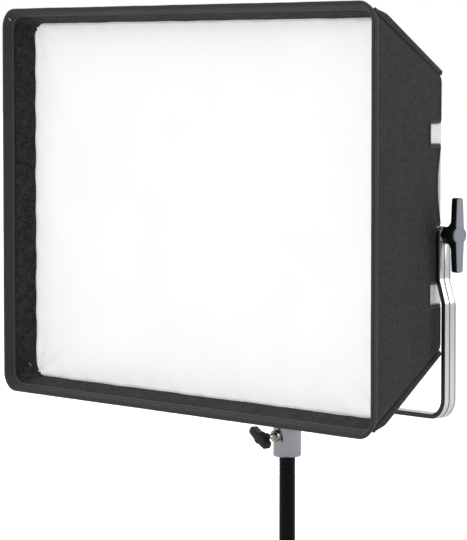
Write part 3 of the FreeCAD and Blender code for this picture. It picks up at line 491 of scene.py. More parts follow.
def swept(bm, points, normals, wide, thick, rings=12):
    """Adds a flat oval ring section run round a closed line of points."""
    count = len(points)
    gone = [0.0]
    for a, b in zip(points, points[1:] + points[:1]):
        gone.append(gone[-1] + (b - a).length)

    def place(u, v):
        i = round(v * count) % count
        way = (points[(i + 1) % count] - points[i - 1]).normalized()
        side = normals[i].cross(way).normalized()
        a = math.tau * round(u * rings) / rings
        return points[i] + side * (wide / 2 * math.copysign(abs(math.cos(a)) ** 0.6, math.cos(a))) + (
            normals[i] * (thick / 2 * math.sin(a)))

    shaped_grid(bm, rings, count, place, (2 * (wide + thick), gone[-1]), closed=True,
                flat=lambda u, v: (u * 2 * (wide + thick), gone[round(v * count)]))
    outward(bm)


def thicken(made, thickness, offset=-1.0):
    solid = made.modifiers.new("thickness", "SOLIDIFY")
    solid.thickness = thickness
    solid.offset = offset
    return made


def turned(bm, profile, start, axis, steps=48):
    """Spins a profile of (along, radius) points round an axis."""
    axis = Vector(axis).normalized()
    side = axis.orthogonal().normalized()
    verts = [bm.verts.new(Vector(start) + axis * along + side * radius) for along, radius in profile]
    edges = [bm.edges.new(pair) for pair in zip(verts, verts[1:])]
    made = bmesh.ops.spin(bm, geom=verts + edges, cent=start, axis=axis, angle=math.tau, steps=steps,
                          use_merge=True)
    ring = {v for v in made["geom_last"] if isinstance(v, bmesh.types.BMVert)} | set(verts)
    bmesh.ops.remove_doubles(bm, verts=[v for v in bm.verts if v in ring or (
        (v.co - Vector(start)).cross(axis).length < 1e-7)], dist=1e-7)


def outward(bm):
    bmesh.ops.recalc_face_normals(bm, faces=bm.faces)


def softened(name, body, slot, width, segments=2, finish=None, angle=math.radians(28)):
    """The same piece as a CAD node, merged, with its edges rounded."""
    bm = bmesh.new()
    bm.from_mesh(NODES[name].data)
    bmesh.ops.remove_doubles(bm, verts=bm.verts, dist=1e-6)
    bmesh.ops.dissolve_limit(bm, angle_limit=math.radians(1), verts=bm.verts, edges=bm.edges)
    hard = [e for e in bm.edges if len(e.link_faces) == 2 and e.calc_face_angle(0) > angle]
    bmesh.ops.bevel(bm, geom=hard, offset=width, offset_type="OFFSET", segments=segments, profile=0.5,
                    affect="EDGES", material=-1, clamp_overlap=True)
    return piece(f"{name}_finished", bm, body, slot, [name], finish)


def rounded_block(bm, low, high, radius, segments=3):
    """Box with rounded edges."""
    low, high = Vector(low), Vector(high)
    place = Matrix.Translation((low + high) / 2) @ Matrix.Diagonal((*(high - low), 1))
    verts = bmesh.ops.create_cube(bm, size=1, matrix=place)["verts"]
    edges = {e for v in verts for e in v.link_edges}
    bmesh.ops.bevel(bm, geom=list(edges), offset=radius, offset_type="OFFSET", segments=segments,
                    profile=0.5, affect="EDGES", material=-1)


def stitch(bm, point, along, normal, length, thickness):
    """One raised stitch."""
    along, normal = along.normalized(), normal.normalized()
    side = normal.cross(along).normalized()
    turn = Matrix((along, side, normal)).transposed().to_4x4()
    shape = Matrix.Diagonal((length / 2, thickness / 2, thickness / 2, 1))
    bmesh.ops.create_icosphere(bm, subdivisions=1, radius=1, matrix=Matrix.Translation(point) @ turn @ shape)


def stitch_line(bm, place, normal, length, pitch, thickness=0.0009):
    """Stitches along place(t), t from 0 to 1, lying on the surface whose normal is normal(t)."""
    count = max(2, round(length / pitch))
    for i in range(count):
        t = (i + 0.5) / count
        step = 0.4 / count
        along = place(min(1, t + step)) - place(max(0, t - step))
        stitch(bm, place(t), along, normal(t), pitch * 0.74, thickness)


# ---------------------------------------------------------------- the shell's form
def shell_at(y):
    """Half width, half height and corner radius of the fabric at depth y."""
    share = (y - FRONT_Y) / (BINDING_Y - FRONT_Y)
    return (FRONT_HALF[0] + (BINDING_HALF[0] - FRONT_HALF[0]) * share,
            FRONT_HALF[1] + (BINDING_HALF[1] - FRONT_HALF[1]) * share,
            FRONT_R + (REAR_R - FRONT_R) * (y - FRONT_Y) / (REAR_Y - FRONT_Y))


def spread(low, high, value):
    """Smooth step from 0 to 1."""
    share = min(1.0, max(0.0, (value - low) / (high - low)))
    return share * share * (3 - 2 * share)


def wall_length(side, y, inset=0.0):
    half_w, half_h, radius = shell_at(y)
    reach = half_h if side in ("left", "right") else half_w
    return 2 * (reach - radius + (radius - inset) * math.pi / 4)


def on_wall(side, share, y, inset=0.0):
    """Point and outward normal on one wall. share runs 0 to 1 from seam to seam."""
    half_w, half_h, radius = shell_at(y)
    reach, stand = (half_h, half_w) if side in ("left", "right") else (half_w, half_h)
    straight, bend = reach - radius, radius - inset
    along = (share - 0.5) * 2 * (straight + bend * math.pi / 4)
    turn = 0.0
    out = stand - inset
    if abs(along) > straight:
        turn = math.copysign((abs(along) - straight) / bend, along)
        out = stand - radius + bend * math.cos(turn)
        along = math.copysign(straight, along) + bend * math.sin(turn)
    normal = (math.cos(turn), math.sin(turn))
    quarter = SIDES.index(side)
    for _ in range(quarter):
        out, along = -along, out
        normal = (-normal[1], normal[0])
    return Vector((out, y, CENTRE_Z + along)), Vector((normal[0], 0, normal[1]))


def ripple(point, size, height, seed=0.0):
    """Smooth unevenness of cloth."""
    return height * noise.noise(Vector((point.x, point.y + seed, point.z)) / size)


def rear_limit(z, scallop):
    """Rear edge of a side wall at that height above the middle. It draws forward between straps and boss."""
    level = TILT_Z - CENTRE_Z
    gap = abs(z - level)
    if gap < NOTCH_R:
        return -math.sqrt(NOTCH_R ** 2 - gap ** 2)
    if abs(z) >= SLOT_LOW:
        return REAR_Y
    strap = SLOT_LOW if z > level else -SLOT_LOW
    share = (gap - NOTCH_R) / (abs(strap - level) - NOTCH_R)
    return REAR_Y - scallop * math.sin(math.pi * share) * abs(strap - level) / (SLOT_LOW - level)


def slant_of(side, y0, y1):
    a, b = on_wall(side, 0.5, y0)[0], on_wall(side, 0.5, y1)[0]
    return (a - b).length


# ---------------------------------------------------------------- operators: finishes and CAD nodes
class SOFTBOX_OT_finishes(bpy.types.Operator):
    """Make every finish and give it to the frame's nodes"""
    bl_idname = "softbox.finishes"
    bl_label = "Finishes"

    def execute(self, context):
        scene = context.scene
        FINISHES.update(make_finishes(scene.softbox_fabric, scene.softbox_hardware))
        for entry in FRAME["record"]["subparts"]:
            node = NODES[entry["node"]]
            node.data.materials.clear()
            node.data.materials.append(FINISHES[entry["material_slot"]])
        return {"FINISHED"}


class SOFTBOX_OT_hardware(bpy.types.Operator):
    """Round the edges of the machined and moulded parts"""
    bl_idname = "softbox.hardware"
    bl_label = "Machined and moulded parts"

    def execute(self, context):
        radius = context.scene.softbox_hardware.edge_radius
        slots = {entry["node"]: entry["material_slot"] for entry in FRAME["record"]["subparts"]}
        bodies = {node: body for body, nodes in FRAME["record"]["behaviour"]["bodies"].items()
                  for node in nodes}
        rounded = {
            "panel_frame": 0.6, "front_bezel": 0.5, "back_cover": 0.6, "control_pod": 1.0,
            "mains_inlet": 0.4, "power_rocker": 0.8, "cover_screws": 0.3, "yoke_bar": 0.5,
            "tilt_bosses": 0.8, "arm_washers": 0.5, "tilt_handle_right": 1.6, "tilt_handle_left": 1.6,
            "tilt_handle_cap_right": 0.7, "tilt_handle_cap_left": 0.7, "spigot_receiver": 1.0,
            "yoke_bolt": 0.6, "yoke_bolt_washer": 0.4, "lock_wing": 1.5, "lock_boss": 0.5,
            "lock_insert": 0.4, "stand_tube_plug": 0.4}
        for node, share in rounded.items():
            softened(node, bodies[node], slots[node], radius * share)
        return {"FINISHED"}


# ---------------------------------------------------------------- operators: softbox
class SOFTBOX_OT_walls(bpy.types.Operator):
    """Sew the four fabric walls"""
    bl_idname = "softbox.walls"
    bl_label = "Walls"

    def execute(self, context):
        fabric = context.scene.softbox_fabric
        start = FRONT_Y + 0.004
        rows = (0.0, 0.8, 1.0)                          # shares of the grid at the cut-outs' edges
        columns = (0.0, 0.20, 0.28, 0.72, 0.80, 1.0)
        for side in SIDES:
            upright = side in ("left", "right")

            def spot(u, v):
                """Depth, and distance along the wall from its middle."""
                band = 0 if v < rows[1] else 1
                part = (v - rows[band]) / (rows[band + 1] - rows[band])
                y = (start + (SLOT_Y - start) * part) if band == 0 else SLOT_Y + (REAR_Y - SLOT_Y) * part
                end = wall_length(side, y) / 2
                if not upright:
                    return y, (2 * u - 1) * end
                edges = (-end, -SLOT_HIGH, -SLOT_LOW, SLOT_LOW, SLOT_HIGH, end)
                k = min(4, max(i for i in range(6) if columns[i] <= u + 1e-9))
                across = (u - columns[k]) / (columns[k + 1] - columns[k])
                along = edges[k] + (edges[k + 1] - edges[k]) * across
                if band == 1:
                    rear = rear_limit(along if side == "right" else -along, fabric.scallop)
                    y = SLOT_Y + (rear - SLOT_Y) * part
                return y, along

            def place(u, v):
                y, along = spot(u, v)
                share = 0.5 + along / wall_length(side, y)
                point, normal = on_wall(side, share, y)
                middle = max(0.0, 1 - abs(2 * share - 1) ** 2.5)
                slack = spread(DIFFUSER_Y + BORDER_W, DIFFUSER_Y + SLACK_FROM, y)
                slack *= 1 - 0.85 * spread(-0.07, SLOT_Y, y)
                sag = fabric.wall_sag * middle * slack
                creases = ripple(point, 0.075, 0.0024) + ripple(point, 0.022, 0.0005, 3.0)
                pinch = 0.0006 * math.sin(along / 0.0085) * (1 - middle) ** 2
                play = (creases + pinch) * middle * (0.15 + 0.85 * slack)
                return point + normal * (play - sag - 0.0002)

            def flat(u, v):
                y, along = spot(u, v)
                return along, slant_of(side, start, y)

            def keep(u, v):
                in_slot = columns[1] < u < columns[2] or columns[3] < u < columns[4]
                return not (upright and v > rows[1] and in_slot)

            length, rear_length = wall_length(side, start), wall_length(side, REAR_Y)
            slant = slant_of(side, start, REAR_Y)
            bm = bmesh.new()
            shaped_grid(bm, 100, 60, place, (length, slant), flat=flat, keep=keep)
            bmesh.ops.reverse_faces(bm, faces=bm.faces)
            made = piece(f"wall_{side}_cloth", bm, "head", "shell_fabric", [f"wall_{side}"])
            thicken(made, CLOTH)
            cut_away = 2 * (SLOT_HIGH - SLOT_LOW) * slant_of(side, SLOT_Y, REAR_Y) if upright else 0.0
        return {"FINISHED"}


class SOFTBOX_OT_hem(bpy.types.Operator):
    """Fold the hem round the mouth and stitch it"""
    bl_idname = "softbox.hem"
    bl_label = "Front hem"

    def execute(self, context):
        fabric = context.scene.softbox_fabric
        depth, thick = HEM_Y - FRONT_Y, HEM_T
        section = []
        for i in range(24):
            a = math.tau * i / 24
            fold = Vector((math.copysign(abs(math.cos(a)) ** 0.55, math.cos(a)),
                           math.copysign(abs(math.sin(a)) ** 0.45, math.sin(a))))
            section.append(Vector((thick / 2 * (1 - fold.x), depth / 2 * (1 + fold.y))))
        for side in SIDES:
            def place(u, v):
                inset, forward = section[round(v * 24) % 24]
                y = FRONT_Y + forward
                point, normal = on_wall(side, u, y, 0.0)
                wander = ripple(point, 0.06, 0.0006, 7.0) + ripple(point, 0.012, 0.0003, 9.0)
                swell = 0.0005 * math.sin(math.pi * forward / depth)
                return point - normal * (inset - swell - wander * 0.5)

            length = wall_length(side, FRONT_Y)
            bm = bmesh.new()
            shaped_grid(bm, 150, 24, place, (length, 2 * (depth + thick)), closed=True)
            outward(bm)
            piece(f"hem_{side}", bm, "head", "seam_fabric", ["front_hem"])
        bm = bmesh.new()
        for side in SIDES:
            length = wall_length(side, HEM_Y)
            for inset, facing in ((-0.0002, 1), (HEM_T + 0.0002, -1)):
                def along(t):
                    point, normal = on_wall(side, t, FRONT_Y + HEM_SEAM)
                    return point - normal * inset

                def normal(t):
                    return on_wall(side, t, HEM_Y)[1] * facing

                stitch_line(bm, along, normal, length, fabric.stitch_pitch)
        piece("hem_stitching", bm, "head", "seam_fabric", finish=FINISHES["thread"])
        bm = bmesh.new()
        for x, y, z, way in ((-0.3575, FRONT_Y - 0.0002, 0.2455, (1, 0, -0.6)),
                             (-0.3475, DIFFUSER_Y - 0.012, -0.226, (0.3, -1, 0.8))):
            start, step = Vector((x, y, CENTRE_Z + z)), Vector(way).normalized() * 0.0022
            for i in range(3):
                bend = Vector((0, 0, 0.0006 * (i - 1) ** 2))
                stitch(bm, start + step * i + bend, Vector(way), Vector((0.1, -1, 0.1)), 0.0030, 0.0008)
        piece("loose_thread_ends", bm, "head", "webbing")
        return {"FINISHED"}


class SOFTBOX_OT_loop_tapes(bpy.types.Operator):
    """Lay the loop tape on the lip in front of the diffuser"""
    bl_idname = "softbox.loop_tapes"
    bl_label = "Loop tapes"

    def execute(self, context):
        for side in SIDES:
            def place(u, v):
                y = HEM_Y - 0.001 + (DIFFUSER_Y - HEM_Y + 0.003) * v
                point, normal = on_wall(side, u, y, PILE_INSET)
                fuzz = ripple(point, 0.0022, 0.0007, 1.0) + ripple(point, 0.03, 0.0008, 2.0)
                return point - normal * (0.0006 + fuzz)

            length = wall_length(side, HEM_Y)
            slant = slant_of(side, HEM_Y, DIFFUSER_Y)
            bm = bmesh.new()
            shaped_grid(bm, 420 if side in ("top", "bottom") else 300, 22, place, (length, slant))
            made = piece(f"loop_tape_{side}", bm, "head", "loop_fabric", ["loop_tapes"])
            thicken(made, 0.0008)
        return {"FINISHED"}


class SOFTBOX_OT_diffuser(bpy.types.Operator):
    """Stretch the diffuser and turn its border on the walls behind it"""
    bl_idname = "softbox.diffuser"
    bl_label = "Diffuser"

    def execute(self, context):
        lo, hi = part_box("front_diffuser")
        half_w, half_h = (hi.x - lo.x) / 2 - DIFFUSER_GAP, (hi.z - lo.z) / 2 - DIFFUSER_GAP
        radius = DIFFUSER_R

        def place(u, v):
            x, z = (2 * u - 1) * half_w, (2 * v - 1) * half_h
            over_x, over_z = abs(x) - (half_w - radius), abs(z) - (half_h - radius)
            if over_x > 0 and over_z > 0:      # round the corner off
                squeeze = radius / max(radius, math.hypot(over_x, over_z))
                x = math.copysign(half_w - radius + over_x * squeeze, x)
                z = math.copysign(half_h - radius + over_z * squeeze, z)
            edge_x, edge_z = half_w - abs(x), half_h - abs(z)
            edge = min(edge_x, edge_z)
            spot = Vector((x, 0, z))
            pull = (0.0005 + ripple(spot, 0.05, 0.0010, 4.0)) * (1 - spread(0.0, 0.014, edge))
            x, z = x * (1 - pull / half_w), z * (1 - pull / half_h)
            reach = math.hypot(edge_x, edge_z)
            fan = math.atan2(edge_z, edge_x)
            folds = 0.0030 * math.exp(-reach / 0.05) * math.sin(9 * fan) * min(1, edge / 0.006)
            puckers = 0.0006 * math.exp(-edge / 0.018) * math.sin((x + z) / 0.0075)
            billow = 0.0035 * (1 - (x / half_w) ** 2) * (1 - (z / half_h) ** 2)
            loose = ripple(spot, 0.16, 0.0022, 5.0) + ripple(spot, 0.05, 0.0006, 6.0)
            return Vector((x, lo.y + 0.0008 - folds - puckers - billow * 0.5 + loose * min(1, edge / 0.05),
                           CENTRE_Z + z))

        bm = bmesh.new()
        shaped_grid(bm, 190, 130, place, (2 * half_w, 2 * half_h))
        made = piece("diffuser_cloth", bm, "head", "diffuser_fabric", ["front_diffuser"])
        thicken(made, 0.0004)
        borders = []
        for side in SIDES:
            def turn_back(u, v):
                y = lo.y + 0.0012 + BORDER_W * v
                point, normal = on_wall(side, u, y, 0.0036)
                return point - normal * (0.0002 + ripple(point, 0.04, 0.0006, 8.0))

            length = wall_length(side, lo.y)
            bm = bmesh.new()
            shaped_grid(bm, 110, 6, turn_back, (length, 0.019))
            borders.append(piece(f"diffuser_border_{side}", bm, "head", "loop_fabric", ["diffuser_border"],
                                 finish=FINISHES["diffuser_fabric"]))
            thicken(borders[-1], 0.0006)
        return {"FINISHED"}


class SOFTBOX_OT_corner_seams(bpy.types.Operator):
    """Raise the stitched sleeves along the four corners"""
    bl_idname = "softbox.corner_seams"
    bl_label = "Corner seams"

    def execute(self, context):
        pitch = context.scene.softbox_fabric.stitch_pitch
        threads, rods = bmesh.new(), bmesh.new()
        for sx, sz in ((1, 1), (-1, 1), (-1, -1), (1, -1)):
            out = Vector((sx, 0, sz)).normalized()
            flat = Vector((sx, 0, -sz)).normalized()

            def foot(v):
                y = HEM_Y - 0.002 + (REAR_Y - HEM_Y + 0.002) * v
                half_w, half_h, radius = shell_at(y)
                inward = radius * (1 - math.sqrt(0.5))
                return Vector((sx * (half_w - inward), y, CENTRE_Z + sz * (half_h - inward)))

            def height(v):
                return (FIN_FRONT + (FIN_REAR - FIN_FRONT) * v) * (0.42 + 0.58 * spread(0.0, 0.15, v))

            def place(u, v):
                a = math.tau * u
                up = 0.5 + 0.5 * math.copysign(abs(math.cos(a)) ** 0.6, math.cos(a))
                base = foot(v)
                thick = 0.0012 + 0.0012 * math.exp(-((up - 0.5) / 0.3) ** 2) + 0.0010 * (1 - up) ** 4
                sway = ripple(base, 0.045, 0.0010, 11.0) * max(0.0, up - 0.5)
                lift = up * (height(v) + 0.0006) - 0.0006
                return base + out * lift + flat * (thick * math.sin(a) + sway)

            length = (foot(1) - foot(0)).length
            near, far = foot(0.17) + out * 0.0042, foot(0.99) + out * 0.0030
            reach = (far - near).length
            turned(rods, [(0, 0), (0, ROD_R), (reach, ROD_R), (reach, 0)], near, far - near, 16)
            bm = bmesh.new()
            shaped_grid(bm, 20, 90, place, (0.022, length), closed=True)
            bmesh.ops.holes_fill(bm, edges=[e for e in bm.edges if e.is_boundary], sides=0)
            outward(bm)
            where = ("top" if sz > 0 else "bottom") + ("_right" if sx > 0 else "_left")
            piece(f"corner_seam_{where}", bm, "head", "seam_fabric", ["corner_sleeves"])
            for facing in (1, -1):
                def along(t):
                    base = foot(t)
                    return base + out * (height(t) * 0.24) + flat * (facing * 0.0019)

                stitch_line(threads, along, lambda t: flat * facing, length, pitch)
        outward(rods)
        piece("corner_rods_turned", rods, "head", "spring_steel", ["corner_rods"])
        piece("corner_stitching", threads, "head", "seam_fabric", finish=FINISHES["thread"])
        return {"FINISHED"}


def rounded_path(corners, radius, step=0.0022):
    """Points along straight lines whose corners are rounded."""
    corners = [Vector(corner) for corner in corners]
    line = [corners[0]]
    for before, corner, after in zip(corners, corners[1:], corners[2:]):
        near, far = before - corner, after - corner
        reach = min(radius, near.length / 2, far.length / 2)
        start, end = corner + near.normalized() * reach, corner + far.normalized() * reach
        for i in range(5):
            a, b = start.lerp(corner, i / 4), corner.lerp(end, i / 4)
            line.append(a.lerp(b, i / 4))
    line.append(corners[-1])
    points = [line[0]]
    for a, b in zip(line, line[1:]):
        count = max(1, round((b - a).length / step))
        points += [a.lerp(b, (i + 1) / count) for i in range(count)]
    return points


def rear_rim(scallop):
    """Points and normals along the middle of the rear tape, once round the softbox."""
    level = TILT_Z - CENTRE_Z
    edge, beside = TAPE_W / 2, TAPE_W / 2 - 0.0006
    rear = REAR_Y - edge
    ring = NOTCH_R + edge
    half_w, half_h, radius = shell_at(REAR_Y)
    straight = half_h - radius

    def slot(sign):
        return [(sign * z, y) for z, y in (
            (SLOT_LOW - beside, rear), (SLOT_LOW - beside, SLOT_Y - beside),
            (SLOT_HIGH + beside, SLOT_Y - beside), (SLOT_HIGH + beside, rear))]

    def scalloped(low, high):
        return [(low + (high - low) * i / 12, rear_limit(low + (high - low) * i / 12, scallop) - edge)
                for i in range(1, 12)]

    around = [(level + ring * math.cos(a), -ring * math.sin(a))
              for a in (math.pi * (1 - i / 8) for i in range(9))]
    side = rounded_path(
        [(-straight, rear)] + slot(-1)[::-1] + scalloped(-SLOT_LOW + beside, level - ring)
        + [(level - ring, rear)] + around + [(level + ring, rear)]
        + scalloped(level + ring, SLOT_LOW - beside) + slot(1) + [(straight, rear)], 0.003)
    lean = Vector(((FRONT_HALF[0] - half_w), (FRONT_HALF[1] - half_h))) / (REAR_Y - FRONT_Y)
    wide = half_w - radius
    rim = []               # point and normal, on the right half, from the bottom's middle to the top's

    def corner(sign, steps):
        for i in steps:
            a = math.pi / 2 * (i / 8 if sign > 0 else i / 8 - 1)
            rim.append((Vector((wide + radius * math.cos(a), rear, sign * straight + radius * math.sin(a))),
                        Vector((math.cos(a), lean.x, math.sin(a)))))

    rim += [(Vector((wide * i / 60, rear, -half_h)), Vector((0, lean.y, -1))) for i in range(60)]
    corner(-1, range(8))
    rim += [(Vector((shell_at(y)[0], y, z)), Vector((1, lean.x, 0))) for z, y in side]
    corner(1, range(1, 9))
    rim += [(Vector((wide * (1 - i / 60), rear, half_h)), Vector((0, lean.y, 1))) for i in range(1, 61)]
    flip = Vector((-1, 1, 1))
    rim += [(point * flip, normal * flip) for point, normal in rim[-2:0:-1]]
    middle = Vector((0, 0, CENTRE_Z))
    return [point + middle for point, _ in rim], [normal.normalized() for _, normal in rim]


class SOFTBOX_OT_binding(bpy.types.Operator):
    """Fold the tape over the rear edge, the strap cut-outs and the notches"""
    bl_idname = "softbox.binding"
    bl_label = "Rear binding"

    def execute(self, context):
        fabric = context.scene.softbox_fabric
        points, normals = rear_rim(fabric.scallop)
        points = [point - normal * (0.0008 - ripple(point, 0.012, 0.0002, 13.0))
                  for point, normal in zip(points, normals)]
        bm = bmesh.new()
        swept(bm, points, normals, TAPE_W, 0.0030)
        piece("rear_tape", bm, "head", "seam_fabric", ["rear_binding"], sharp=math.radians(70))
        return {"FINISHED"}


class SOFTBOX_OT_straps(bpy.types.Operator):
    """Run the webbing straps round the panel and stitch their ends on the walls"""
    bl_idname = "softbox.straps"
    bl_label = "Straps"

    def execute(self, context):
        threads = bmesh.new()
        for level in ("upper", "lower"):
            for side, sign in (("right", 1), ("left", -1)):
                node = f"strap_{level}_{side}"
                lo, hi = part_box(node)
                outer = max(abs(lo.x), abs(hi.x)) - 0.0006
                back = hi.y
                z0, width = (lo.z + hi.z) / 2, hi.z - lo.z
                over = side == "right"
                panel_x = PANEL[1].x + 0.0012
                inner = -STRAP_LAP
                lean = (FRONT_HALF[0] - BINDING_HALF[0]) / (BINDING_Y - FRONT_Y)
                deep = back - (0.0015 if over else 0.0001)
                bend = 0.004
                route = [Vector((outer, lo.y)), Vector((outer - lean * STRAP_SEWN, SLOT_Y))]
                for k in range(7):
                    a = math.pi / 2 * k / 6
                    route.append(Vector((panel_x - bend + bend * math.cos(a),
                                         deep - bend + bend * math.sin(a))))
                if over:
                    lapped = deep + 0.0013
                    route += [Vector((0.044, deep)), Vector((STRAP_LAP, lapped)), Vector((inner, lapped))]
                else:
                    route += [Vector((inner, deep))]
                reach = [0.0]
                for a, b in zip(route, route[1:]):
                    reach.append(reach[-1] + (b - a).length)

                def at(t):
                    s = t * reach[-1]
                    i = max(k for k in range(len(reach) - 1) if reach[k] <= s + 1e-9)
                    share = (s - reach[i]) / (reach[i + 1] - reach[i])
                    return route[i].lerp(route[i + 1], min(1, share)), (route[i + 1] - route[i]).normalized()

                def place(u, v):
                    spot, way = at(v)
                    edge = (u - 0.5) * width
                    point = Vector((spot.x * sign, spot.y, z0 + edge))
                    proud = Vector((way.y * sign, -way.x, 0))
                    wave = ripple(point, 0.05, 0.0006, 15.0) * spread(0.05, 0.3, v)
                    return point + proud * (abs(wave) - 0.0003)

                bm = bmesh.new()
                shaped_grid(bm, 12, 160, place, (width, reach[-1]))
                outward(bm)
                made = piece(f"strap_{level}_{side}_webbing", bm, "head", "webbing", [node])
                thicken(made, 0.0011, 0.0)
                near, far, half = 0.003, 0.0125, 0.0105
                end = [(near, -half), (near, half), (far, half), (far, -half), (near, -half)]
                for (s0, e0), (s1, e1) in zip(end, end[1:]):
                    def seam(t):
                        spot, way = at((s0 + (s1 - s0) * t) / reach[-1])
                        return Vector((spot.x * sign, spot.y, z0 + e0 + (e1 - e0) * t)) + Vector(
                            (way.y * sign, -way.x, 0)) * 0.0002

                    way = at(0.01)[1]
                    face = Vector((way.y * sign, -way.x, 0))
                    stitch_line(threads, seam, lambda t: face, math.hypot(s1 - s0, e1 - e0), 0.003, 0.0005)
        piece("strap_stitching", threads, "head", "webbing")
        return {"FINISHED"}


# ---------------------------------------------------------------- operators: controls and stand
class SOFTBOX_OT_controls(bpy.types.Operator):
    """Turn the dials and buttons on the panel's back"""
    bl_idname = "softbox.controls"
    bl_label = "Dials and buttons"

    def execute(self, context):
        ridges = context.scene.softbox_hardware.dial_ridges
        for dial in ("dial_brightness", "dial_colour"):
            lo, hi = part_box(dial)
            centre = (lo + hi) / 2
            radius, face = (hi.x - lo.x) / 2, hi.y
            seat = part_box("control_pod")[1].y + 0.0003
            bm = bmesh.new()
            start = Vector((centre.x, seat, centre.z))
            depth = face - seat
            profile = [(0, 0), (0, radius * 0.97), (0.0015, radius), (depth - 0.0025, radius * 0.965),
                       (depth - 0.0008, radius * 0.90), (depth, radius * 0.82),
                       (depth - 0.0006, radius * 0.78), (depth - 0.0010, 0)]
            turned(bm, profile, start, (0, 1, 0), ridges * 4)
            outward(bm)
            for vert in bm.verts:
                off = Vector((vert.co.x - centre.x, 0, vert.co.z - centre.z))
                if off.length > radius * 0.93:
                    angle = math.atan2(off.z, off.x)
                    vert.co -= off.normalized() * 0.00045 * (1 - math.cos(angle * ridges))
            pointer = Vector((centre.x, face - 0.0004, centre.z + radius * 0.52))
            body = f"{dial}_body"
            piece(f"{dial}_knob", bm, body, "soft_black", [dial])
            bm = bmesh.new()
            rounded_block(bm, pointer - Vector((0.0006, 0.0008, 0.0030)),
                          pointer + Vector((0.0006, 0.0003, 0.0030)), 0.00025, 2)
            piece(f"{dial}_pointer", bm, body, "webbing", finish=FINISHES["opal_plastic"])
        for button in ("button_menu", "button_mode", "button_back"):
            lo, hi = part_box(button)
            centre = (lo + hi) / 2
            radius = (hi.x - lo.x) / 2
            bm = bmesh.new()
            rise = hi.y - lo.y
            profile = [(0, 0), (0, radius), (rise - 0.0008, radius), (rise - 0.0002, radius * 0.93),
                       (rise, radius * 0.80), (rise - 0.0003, radius * 0.4), (rise - 0.0004, 0)]
            turned(bm, profile, Vector((centre.x, lo.y, centre.z)), (0, 1, 0), 32)
            outward(bm)
            piece(f"{button}_cap", bm, f"{button}_body", "soft_black", [button])
        return {"FINISHED"}


class SOFTBOX_OT_handles(bpy.types.Operator):
    """Add the round bosses on the clamp handles' outer faces"""
    bl_idname = "softbox.handles"
    bl_label = "Clamp handles"

    def execute(self, context):
        for side, sign in (("right", 1), ("left", -1)):
            lo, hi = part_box(f"tilt_handle_cap_{side}")
            outer = hi.x if sign > 0 else lo.x
            radius = 0.0105
            bm = bmesh.new()
            profile = [(-0.0022, radius), (-0.0001, radius), (0.0006, radius - 0.0007),
                       (0.0006, radius - 0.0022), (0.0002, radius - 0.0026), (0.0002, 0)]
            turned(bm, profile, Vector((outer, 0, TILT_Z)), (sign, 0, 0), 64)
            outward(bm)
            piece(f"tilt_handle_boss_{side}", bm, f"handle_{side}", "grey_plastic")
        return {"FINISHED"}


class SOFTBOX_OT_stand(bpy.types.Operator):
    """Turn the stand's top tube with its rings"""
    bl_idname = "softbox.stand"
    bl_label = "Stand tube"

    def execute(self, context):
        radius, _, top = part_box("stand_tube")[1]
        bore = radius - 0.0015
        bm = bmesh.new()
        profile = [(0, bore), (0, radius - 0.0004), (0.0004, radius)]
        for ring in (0.118, 0.124, 0.130):
            profile += [(ring + along, radius - depth) for along, depth in (
                (-0.0008, 0), (-0.0003, 0.0005), (0.0003, 0.0005), (0.0008, 0))]
        profile += [(top - 0.0006, radius), (top, radius - 0.0006), (top, bore)]
        turned(bm, profile, Vector((0, 0, 0)), (0, 0, 1), 72)
        outward(bm)
        piece("stand_tube_enamel", bm, "stand", "tube_paint", ["stand_tube"])
        return {"FINISHED"}


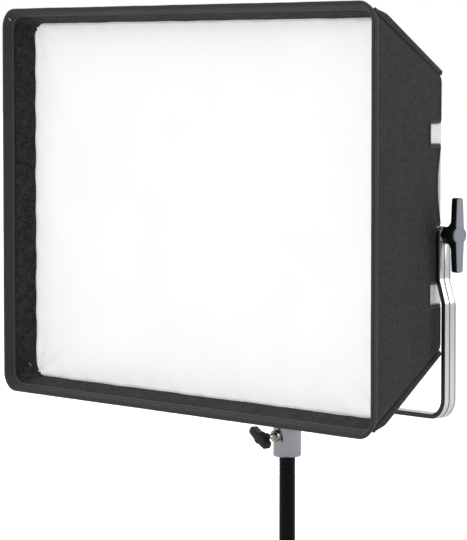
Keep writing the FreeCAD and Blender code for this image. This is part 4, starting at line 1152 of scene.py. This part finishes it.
# ---------------------------------------------------------------- operator: stage
class SOFTBOX_OT_stage(bpy.types.Operator):
    """Set the floor, the lights and the camera"""
    bl_idname = "softbox.stage"
    bl_label = "Stage"

    def execute(self, context):
        scene = context.scene
        stage = scene.softbox_stage
        scene.view_settings.view_transform = "Standard"
        bm = bmesh.new()
        bmesh.ops.create_grid(bm, x_segments=1, y_segments=1, size=30)
        mesh = bpy.data.meshes.new("floor")
        bm.to_mesh(mesh)
        bm.free()
        floor = bpy.data.objects.new("floor", mesh)
        scene.collection.objects.link(floor)
        material, tree, shader = new_finish("floor_paper", tuple(stage.floor_colour), 0.95)
        shader.inputs["Emission Color"].default_value = (1, 1, 1, 1)
        seen = add_node(tree, "LightPath").outputs["Is Camera Ray"]
        link(tree, reckon(tree, "MULTIPLY", seen, 0.6), shader, "Emission Strength")
        paper = speckle(tree, coordinates(tree), 3, 3, 0.5)
        link(tree, shades(tree, paper, scaled(stage.floor_colour, 0.99), tuple(stage.floor_colour)), shader,
             "Base Color")
        mesh.materials.append(material)

        world = bpy.data.worlds.new("studio")
        world.use_nodes = True
        nodes = world.node_tree
        background = nodes.nodes["Background"]
        seen = add_node(nodes, "LightPath").outputs["Is Camera Ray"]
        background.inputs["Color"].default_value = (1, 1, 1, 1)
        way = add_node(nodes, "TexCoord").outputs["Generated"]
        facing = add_node(nodes, "VectorMath", {0: way, 1: (-0.51, -0.61, 0.61)}, operation="DOT_PRODUCT")
        lit = stretch(nodes, facing.outputs["Value"], -1, 1, 0.40 * stage.fill, 1.35 * stage.fill)
        seen_or_lit = add_node(nodes, "Mix", {"Factor": seen}, data_type="FLOAT")
        nodes.links.new(lit, seen_or_lit.inputs[2])
        seen_or_lit.inputs[3].default_value = 1.0
        nodes.links.new(seen_or_lit.outputs[0], background.inputs["Strength"])
        scene.world = world
        target = Vector((0, -0.05, CENTRE_Z))
        for name, offset, size, power in (
                ("key", Vector((0.6, -2.8, 1.7)), 1.8, 12), ("side", Vector((2.3, 1.7, 0.7)), 1.0, 13),
                ("rim", Vector((-1.4, 1.8, 1.8)), 1.4, 12)):
            lamp = bpy.data.lights.new(name, "AREA")
            lamp.shape = "DISK"
            lamp.size = size
            lamp.energy = power
            made = bpy.data.objects.new(name, lamp)
            made.location = target + offset
            made.rotation_euler = (-offset).to_track_quat("-Z", "Y").to_euler()
            scene.collection.objects.link(made)

        lens = bpy.data.cameras.new("camera")
        lens.lens = stage.lens
        camera = bpy.data.objects.new("camera", lens)
        back = Vector((math.sin(stage.azimuth) * math.cos(stage.elevation),
                       -math.cos(stage.azimuth) * math.cos(stage.elevation), math.sin(stage.elevation)))
        camera.location = Vector(stage.aim) + back * stage.distance
        camera.rotation_mode = "QUATERNION"
        camera.rotation_quaternion = (-back).to_track_quat("-Z", "Y")
        scene.collection.objects.link(camera)
        scene.camera = camera
        return {"FINISHED"}


class SOFTBOX_PT_panel(bpy.types.Panel):
    """Lists every step"""
    bl_idname = "SOFTBOX_PT_panel"
    bl_label = "Studio softbox"
    bl_space_type = "VIEW_3D"
    bl_region_type = "UI"
    bl_category = "Softbox"

    def draw(self, context):
        layout = self.layout
        for group in (context.scene.softbox_fabric, context.scene.softbox_hardware,
                      context.scene.softbox_stage):
            for prop in group.__annotations__:
                layout.prop(group, prop)
        for operator in OPERATORS:
            layout.operator(operator.bl_idname)


OPERATORS = (SOFTBOX_OT_finishes, SOFTBOX_OT_hardware, SOFTBOX_OT_walls, SOFTBOX_OT_hem,
             SOFTBOX_OT_loop_tapes, SOFTBOX_OT_diffuser, SOFTBOX_OT_corner_seams, SOFTBOX_OT_binding,
             SOFTBOX_OT_straps, SOFTBOX_OT_controls, SOFTBOX_OT_handles, SOFTBOX_OT_stand, SOFTBOX_OT_stage)
GROUPS = {"softbox_fabric": FabricSettings, "softbox_hardware": HardwareSettings,
          "softbox_stage": StageSettings}


def register():
    for group in (*GROUPS.values(), *OPERATORS, SOFTBOX_PT_panel):
        bpy.utils.register_class(group)
    for name, group in GROUPS.items():
        setattr(bpy.types.Scene, name, PointerProperty(type=group))


def unregister():
    for name in GROUPS:
        delattr(bpy.types.Scene, name)
    for group in reversed((*GROUPS.values(), *OPERATORS, SOFTBOX_PT_panel)):
        bpy.utils.unregister_class(group)


def main():
    register()
    for operator in OPERATORS:
        group, step = operator.bl_idname.split(".")
        getattr(getattr(bpy.ops, group), step)()


if __name__ == "__main__":
    main()
